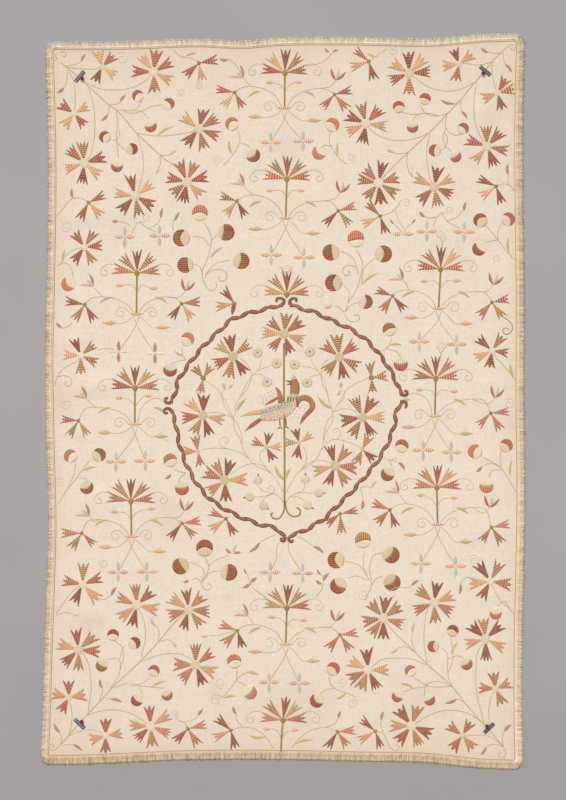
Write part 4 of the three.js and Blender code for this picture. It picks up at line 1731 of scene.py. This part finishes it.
# the foot and the tip of each acorn
ACORNS = """
258,484,258,476 254,496.5,245.5,497.5 260,503.5,267,508 305,483,305.4,475 314.5,493,323,493
303.5,503,311.5,507.5
"""
for spot in route(ROSETTES):
    centre_work.rings(spot, ROSETTE_RADII, ROSETTE_RISES, ROSETTE_TINTS, 24, 0.04)
for word in ACORNS.split():
    values = [float(value) for value in word.split(",")]
    base = place(*values[:2])
    span = place(*values[2:]) - base
    leaf(centre_work, base - span * 0.1, base + span * 1.15, 31, dyed("peach"), 0.6, 0.45, 0.0)
    leaf(centre_work, base + span * 0.95, base + span * 1.35, 6, dyed("tan"), 1.4, 0.4, 0.0)
pieces.append(centre_work.finish("wreath_middle", silk))
pieces.append(hearts.finish("flower_hearts", silk))

# %% [markdown]
# ## The bird
# A small bird perches in the middle of the wreath. It is drawn afresh from the same blades: a spotted
# body, a banded breast, a raised wing, two long tail feathers and an arched plume.

# %% Parts of a bird
BODY_COLUMNS = 11
bird = Needlework()


def feather_line(text, widths):
    """A soft line through a few places, and half its width at each row."""
    line = smooth(route(text), 4.0)
    return line, np.interp(np.linspace(0, 1, len(line)), np.linspace(0, 1, len(widths)), widths)


def feather(text, widths, key, height=1.3):
    line, half = feather_line(text, widths)
    blade(bird, line, half, height, dyed(key), band=BANDS.get(key))


def bird_body(text, widths):
    """The body: grey above and peach below, with dark stitches scattered over it."""
    line, half = feather_line(text, widths)
    side = leftward(line) * half[:, None]
    across = np.linspace(-1, 1, BODY_COLUMNS)
    tints = np.where((across < 0)[None, :, None], THREADS["grey"], THREADS["peach"])
    rise = 0.9 * (0.4 + 0.6 * np.sqrt(1 - 0.95 * across ** 2))[None] * np.ones((len(line), 1))
    bird.strip(line + side, line - side, rise, tints)
    for k in range(1, len(line) - 1, 2):
        for share in np.arange(-0.82, 0.85, 0.42) + 0.2 * (k % 4 == 1):
            spot = line[k] + side[k] * (share + chance.uniform(-0.1, 0.1))
            lean = np.array([chance.uniform(-1.2, 1.2), chance.uniform(2.8, 4.2)])
            leaf(bird, spot - lean, spot + lean, 4.6, dyed("tan" if share < 0 else "brown", 0.3), 1.5)


def hatch(starts, pace, count):
    """Rows of short pale dashes, each with a grey stitch beside it."""
    for start in starts.split():
        px, py = map(float, start.split(","))
        for k in range(count):
            x = px + pace[0] * k
            y = py + pace[1] * k
            dash = f"{x},{y} {x + pace[0] * 0.62},{y + pace[1] * 0.62}"
            feather(dash, [1.7, 2.1, 1.5], "white", 0.6)
            grey = f"{x + 0.2},{y + 0.9} {x + pace[0] * 0.5},{y + 0.9 + pace[1] * 0.5}"
            feather(grey, [0.9, 1.3, 0.9], "slate", 0.5)


# %% Bird made
BREAST_BARS = (288.2, 291, 293.8, 296.6)
LEGS = ("279.6,419 280.2,427", "285.6,418 286,426.5")
TOES = ("280.2,427 277.4,429", "280.2,427 282.6,429", "286,426.5 283.8,428.6", "286,426.5 288.8,428.4")
EYE = (292.6, 382)
feather("261.5,412 252,413 240.2,416.4", [9, 7.5, 1], "yellow")
feather("261,419 253,424.5 245,431", [6, 7.5, 1], "russet")
hatch("275.6,388.4 277,390.3 277.3,392.4 277.5,394.5 277.6,396.6", (-3.4, 1.5), 5)
feather("279,397 272,401 264.5,405.6", [4, 5, 1], "russet")
bird_body("260.7,415.5 268,414 276,412.5 284,409.5 290,405 294,399", [19, 24, 27, 27, 23, 15])
feather("280.5,403 280,396 278,390.5 275.4,387.5", [9, 8.5, 7, 3], "ochre", 1.2)
for px in BREAST_BARS:
    feather(f"{px},396.6 {px - 0.4},402.6", [3.0, 4.0, 1.6], "russet", 1.3)
feather("297.4,407 297.2,403 297,399", [3.5, 7, 6], "russet", 1.25)
feather("293.2,398.6 293.8,396 294,394", [15, 15, 15], "grey", 1.35)
feather("294,394.6 295,388 294.6,383 294.2,379", [15, 16.5, 15.5, 9], "ochre", 1.3)
feather("294,379.5 293.8,376.5 293.6,373.8", [9, 6, 1], "grey", 1.1)
feather("291.5,382.2 288.5,381.2 285.3,380.8", [5, 3, 0.8], "brown", 1.5)
feather("291.5,384.4 289,384.2 286.4,384.4", [4, 2.4, 0.8], "brown", 1.45)
PLUME = "297.5,402 300.5,398.6 305.5,397.8 310.5,400.6 312.6,406 310.3,411"
feather(PLUME, [8, 9.5, 10, 10, 9.5, 8], "ochre", 1.2)
feather("311.2,409.5 307,414 303.3,418.5 300,424.8", [8, 7.5, 6, 1], "russet", 1.15)
hatch("308.2,403.8 305.6,403 302.8,403.6 300,405.4", (-2.3, 3.0), 5)
for text in LEGS + TOES:
    stem(bird, route(text), 4.2, dyed("brown"), 1.0)
eye_tints = [THREADS["rope"], THREADS["rope"], THREADS["cream"]]
bird.rings(place(*EYE), [0.8, 1.6, 2.2], [1.9, 1.8, 1.5], eye_tints, 12)
pieces.append(bird.finish("perched_bird", banded_silk))

# %% [markdown]
# ## Hem line and fringe
# A brown stem stitch runs round just inside the edge. The fringe is sewn to the edge: a thick cream
# heading, then loose yarns that part in uneven locks. Thousands of thin tubes are made as arrays, one
# mesh a side.

# %% Hem line
HEM_INSET = 3.0
HEM_HALF_WIDTH = 1.15
HEM_HEIGHT = 0.6
HEM_TINTS = [(178, 134, 94), (184, 146, 102), (190, 148, 110), (184, 141, 88)]
hem = Needlework()
sides = [path[:-1:2] for path in paths]
edge_loop = np.concatenate(sides)
hem_shades = np.concatenate([np.tile(linear(*tint), (len(side), 1)) for side, tint in zip(sides, HEM_TINTS)])
line = edge_loop - leftward(edge_loop) * HEM_INSET
blade(hem, line, np.full(len(line), HEM_HALF_WIDTH), HEM_HEIGHT, hem_shades[:, None], columns=4)
pieces.append(hem.finish("hem_stitching", silk))

# %% Fringe settings
# reach, ragged, sway and lock are in mm; foot and crown grade the tone from the foot end to the head end;
# the column after under is the share of locks with a slit, whose yarns carry painted shade towards their tips
Fringe = namedtuple("Fringe", "name reach ragged sway lock gather under slits foot crown head tint dark")
FRINGES = [
    Fringe("top", 24.5, 2.0, 1.4, 6.5, 0.36, 0.76, 0.1, 1.0, 1.0,
           (255, 238, 206), (254, 242, 214), (236, 214, 172)),
    Fringe("right", 26.5, 2.9, 2.6, 7.5, 0.42, 0.82, 0.36, 1.06, 0.94,
           (248, 228, 192), (255, 241, 217), (238, 216, 180)),
    Fringe("bottom", 29.5, 2.4, 1.6, 6.0, 0.3, 0.95, 0.12, 1.0, 1.0,
           (216, 192, 158), (240, 220, 189), (210, 184, 147)),
    Fringe("left", 24.5, 2.4, 2.2, 6.5, 0.38, 0.84, 0.36, 0.9, 1.04,
           (255, 236, 205), (255, 241, 213), (250, 224, 184)),
]
FOOT_TO_CROWN = (-1200, 1200)
YARN_STEP = 1.2
YARN_ROWS = 5
YARN_ROOT = 0.8
YARN_RADII = (0.6, 0.9)
YARN_START = 2.25
YARN_FALL = 1.3
SHORTEST_YARN = 15.0
LOWEST_YARN = 0.65
CORNER_CALM = 14.0
SLIT_WIDTH = 2.4
# painted shade: the yarns beside a slit between locks are painted this much darker, in brown, towards their
# tips
SLIT_PAINTED_SHADE = np.array([0.62, 0.5, 0.38])
# the backing is the yarn colour a little darkened: the deeper yarns, with painted shade between them
BACKING_YARN_AND_SHADE_TINT = (238, 216, 178)
HEADING_WIDTH = 9.0
HEADING_COLUMNS = 13
HEADING_LAP = 0.6
HEADING_SUNK = 1.7
BACKING_SUNK = 1.75
BACKING_START = 4
HEADING_PROFILE = [0.12, 0.2, 0.2, 0.1, -0.2]
UNDER_PROFILE = [-0.5, -0.5, -0.6, -0.8, -1.05]


def yarn_tubes(work, lines, heights, radius, tints):
    """Many thin three-sided yarns at once: lines is yarn, row, xy in millimetres."""
    count, rows = lines.shape[:2]
    along = np.gradient(lines, axis=1)
    along /= np.linalg.norm(along, axis=2, keepdims=True)
    side = np.stack([-along[..., 1], along[..., 0]], axis=2)
    turn = np.radians([90, 210, 330])
    fat = radius[:, None] * np.linspace(1.0, 0.7, rows)[None]
    plan = lines[:, :, None] + side[:, :, None] * (fat[:, :, None] * np.cos(turn))[..., None]
    level = heights[:, :, None] + fat[:, :, None] * np.sin(turn)
    points = np.concatenate([plan, level[..., None]], axis=3)
    index = work.count + np.arange(count * rows * 3).reshape(count, rows, 3)
    after = np.roll(index, -1, axis=2)
    quads = np.stack([index[:, :-1], after[:, :-1], after[:, 1:], index[:, 1:]], -1).reshape(-1, 4).tolist()
    quads += index[:, 0].tolist()
    quads += index[:, -1].tolist()
    run = np.cumsum(np.linalg.norm(np.diff(lines, axis=1, prepend=lines[:, :1]), axis=2), axis=1)
    stitch = np.stack(np.broadcast_arrays(run[:, :, None], np.arange(3) * 0.7), axis=-1)
    work.keep(points.reshape(-1, 3), quads, np.repeat(tints.reshape(-1, 3), 3, axis=0), stitch.reshape(-1, 2))


# %% Locks of yarn


def lay_yarns(work, row, path, normals, luck):
    """Loose yarns, even at the tips and gathered in leaning locks, with a slit beside some locks whose yarns
    are painted dark as shade.
    """
    run = lengthwise(path)
    tip_run = lengthwise(path + normals * row.reach)
    tip_at = np.arange(0.6, tip_run[-1], YARN_STEP)
    at = np.interp(tip_at + luck.uniform(-0.4, 0.4, len(tip_at)), tip_run, run)
    count = len(at)
    root = at_run(path, run, at)
    out = at_run(normals, run, at)
    out /= np.hypot(*out.T)[:, None]
    along = np.stack([out[:, 1], -out[:, 0]], 1)
    borders = np.cumsum(luck.uniform(0.6, 1.4, int(run[-1] / row.lock) * 2) * row.lock)
    starts = np.concatenate([[0.0], borders])
    lock = np.searchsorted(borders, at)
    locks = lock.max() + 1
    middles = starts[lock] + np.diff(starts)[lock] / 2
    lock_lean = luck.normal(0, row.sway, locks)[lock]
    lock_reach = luck.normal(0, row.ragged * 0.5, locks)[lock]
    reach = row.reach + lock_reach + luck.normal(0, row.ragged * 0.45, count)
    reach = np.clip(reach, SHORTEST_YARN, row.reach + row.ragged)
    from_corner = np.minimum(at, run[-1] - at)
    gather = (middles - at) * row.gather * np.clip(from_corner / CORNER_CALM, 0, 1)
    shares = np.linspace(0, 1, YARN_ROWS)
    distance = YARN_ROOT + (reach[:, None] - YARN_ROOT) * shares[None]
    drift = (gather + lock_lean + luck.normal(0, 0.9, count))[:, None] * shares[None] ** 1.6
    drift += luck.normal(0, 0.35, (count, YARN_ROWS)) * shares[None]
    lines = root[:, None] + out[:, None] * distance[..., None] + along[:, None] * drift[..., None]
    heights = YARN_START - YARN_FALL * shares[None]
    heights = heights + luck.uniform(-0.1, 0.35, (count, 1)) * np.sin(shares[None] * 2.4)
    radius = luck.uniform(*YARN_RADII, count)
    pick = luck.uniform(0, 1, (count, 1)) ** 3
    tints = linear(*row.tint) * (1 - pick) + linear(*row.dark) * pick
    tints = tints * luck.uniform(0.86, 1.12, locks)[lock][:, None]
    tints = tints * np.interp(root[:, 1], FOOT_TO_CROWN, (row.foot, row.crown))[:, None]
    # painted shade: the first yarns of some locks are painted dark brown towards their tips, for the shade in
    # the gap between locks
    shaded_slit = luck.uniform(0, 1, locks)[lock] < row.slits
    shaded_slit &= at - starts[lock] < SLIT_WIDTH
    shaded_slit &= from_corner > CORNER_CALM
    slit_shade_share = shaded_slit[:, None] * np.clip(shares * 2 - 0.3, 0, 1)
    tints = tints[:, None] * (1 + (SLIT_PAINTED_SHADE - 1) * slit_shade_share[..., None])
    yarn_tubes(work, lines, np.maximum(heights, LOWEST_YARN), radius, tints)


# %% Heading and backing


def lay_strips(work, row, path, luck):
    """The thick heading at the edge, and a backing under the yarns that closes the gaps between them, a
    little darker than the yarns as painted shade.
    """
    edge = smooth(path[::2], 4.0)
    count = len(edge)
    edge_out = leftward(edge)
    tone = luck.uniform(0.94, 1.04, (count, 1, 1))
    far = HEADING_WIDTH + luck.normal(0, 0.5, count)
    profile = np.interp(np.linspace(0, 4, HEADING_COLUMNS), np.arange(5), HEADING_PROFILE)[None]
    profile = profile + luck.normal(0, 0.05, (count, HEADING_COLUMNS))
    near = edge - edge_out * HEADING_LAP
    work.strip(near, edge + edge_out * far[:, None], profile, linear(*row.head) * tone,
               threads_cross=True, sunk=HEADING_SUNK)
    far = row.reach * row.under + luck.normal(0, row.ragged * 0.45, count)
    profile = np.array([UNDER_PROFILE]) + luck.normal(0, 0.06, (count, len(UNDER_PROFILE)))
    # the backing's tone is a little darker than the yarns, as painted shade in the gaps
    near = edge + edge_out * BACKING_START
    work.strip(near, edge + edge_out * far[:, None], profile, linear(*BACKING_YARN_AND_SHADE_TINT) * tone,
               threads_cross=True, sunk=BACKING_SUNK)


# %% Fringe made
FRINGE_SEED = 40
edge_normals = [leftward(path) for path in paths]
for number, (row, path) in enumerate(zip(FRINGES, paths)):
    work = Needlework()
    luck = np.random.default_rng(FRINGE_SEED + number)
    normals = edge_normals[number].copy()
    normals[0] += edge_normals[number - 1][-1]
    normals[-1] += edge_normals[(number + 1) % 4][0]
    normals /= np.hypot(*normals.T)[:, None]
    lay_yarns(work, row, path, normals, luck)
    lay_strips(work, row, path, luck)
    fringe_piece = work.finish("fringe_yarn_" + row.name, yarn, "fringe")
    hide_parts("fringe_" + row.name)

# %% [markdown]
# ## Corner tabs and beads
# A short bar of dark blue ribbon with pale stripes is sewn across each corner, with a crimson ball wound
# from silk beside it. The bars are strips on the cloth, and the balls start from a sphere whose threads
# are raised.

# %% Corner tabs
Tab = namedtuple("Tab", "name x y turn pale")
TABS = [
    Tab("top_left", -689, 1103, 48.8, 1.2), Tab("top_right", 689, 1122, -40.4, 0.75),
    Tab("bottom_right", 702, -1112, 44.2, 0.7), Tab("bottom_left", -690, -1097, -43.4, 1.25),
]
TAB_LENGTH = 46.0
TAB_WIDTH = 13.0
TAB_THICKNESS = 1.2
TAB_ROWS = 33
TAB_COLUMNS = 21
STRIPE_AT = 0.35
STRIPE_HALF_WIDTH = 0.08
DASH_ROWS = 6
RIBBON_DARK = linear(20, 46, 62)
RIBBON_PALE = linear(228, 228, 222)
t = np.linspace(-0.5, 0.5, TAB_ROWS)
e = np.linspace(-1, 1, TAB_COLUMNS)
striped = (np.abs(np.abs(e) - STRIPE_AT) < STRIPE_HALF_WIDTH)[None, :, None]
dashed = (np.arange(TAB_ROWS) % DASH_ROWS > 1)[:, None, None]
rise = 0.3 + TAB_THICKNESS * (0.82 + 0.18 * np.cos(e * 9)[None] * np.cos(t * 150)[:, None])
for row in TABS:
    work = Needlework()
    along = heading(row.turn)
    side = np.array([-along[1], along[0]]) * TAB_WIDTH / 2
    spine = np.array([row.x, row.y]) + SHIFT + along * t[:, None] * TAB_LENGTH
    tints = np.where(striped & dashed, RIBBON_PALE * row.pale, RIBBON_DARK)
    work.strip(spine + side, spine - side, rise, tints)
    tab = work.finish("ribbon_tab_" + row.name, ribbon, "ribbon")
    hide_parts("corner_tab_" + row.name)

# %% Silk beads
BEAD_RADIUS = 6.8
BEAD_SEGMENTS = 48
BEAD_RINGS = 24
BEAD_WINDS = 12
WIND_SLANT = 1.4
WIND_DEPTH = 0.025
CRIMSON = (112, 4, 20)
CRIMSON_PALE = (142, 16, 32)
BEAD_PITCH_M = 0.0009
BEAD_TONE_SIZE = 400.0
BEAD_DEPTH_M = 0.0003
bead_silk, tree, shader = new_finish("crimson_silk", 0.45, 0.3)
spot = add(tree, "ShaderNodeTexCoord").outputs["Object"]
threads = use_group(tree, thread_group, Vector=spot, Pitch=BEAD_PITCH_M)
tone = use_group(tree, tone_group, Vector=spot, Size=BEAD_TONE_SIZE)["Mask"]
tree.links.new(blend(tree, tone, rgba(*CRIMSON), rgba(*CRIMSON_PALE)), shader.inputs["Base Color"])
bump(tree, shader, threads["Height"], BEAD_DEPTH_M, 0.6)
for row in TABS:
    low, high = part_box("corner_bead_" + row.name)
    middle = [(low[axis] + high[axis]) / 2 for axis in range(3)]
    bpy.ops.object.select_all(action="DESELECT")
    bpy.ops.mesh.primitive_uv_sphere_add(segments=BEAD_SEGMENTS, ring_count=BEAD_RINGS,
                                         radius=BEAD_RADIUS * MM)
    ball = bpy.context.object
    ball.name = "silk_bead_" + row.name
    floor_level = low[2] - middle[2]
    for vertex in ball.data.vertices:
        x, y, z = vertex.co
        wind = math.cos(BEAD_WINDS * math.atan2(y, x) + z / MM * WIND_SLANT)
        vertex.co = vertex.co * (1 - WIND_DEPTH + WIND_DEPTH * wind)
        vertex.co.z = max(vertex.co.z, floor_level)
        vertex.co += type(vertex.co)(middle)
    bpy.ops.object.shade_smooth()
    ball.data.materials.append(bead_silk)
    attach(ball, "root")
    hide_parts("corner_bead_" + row.name)
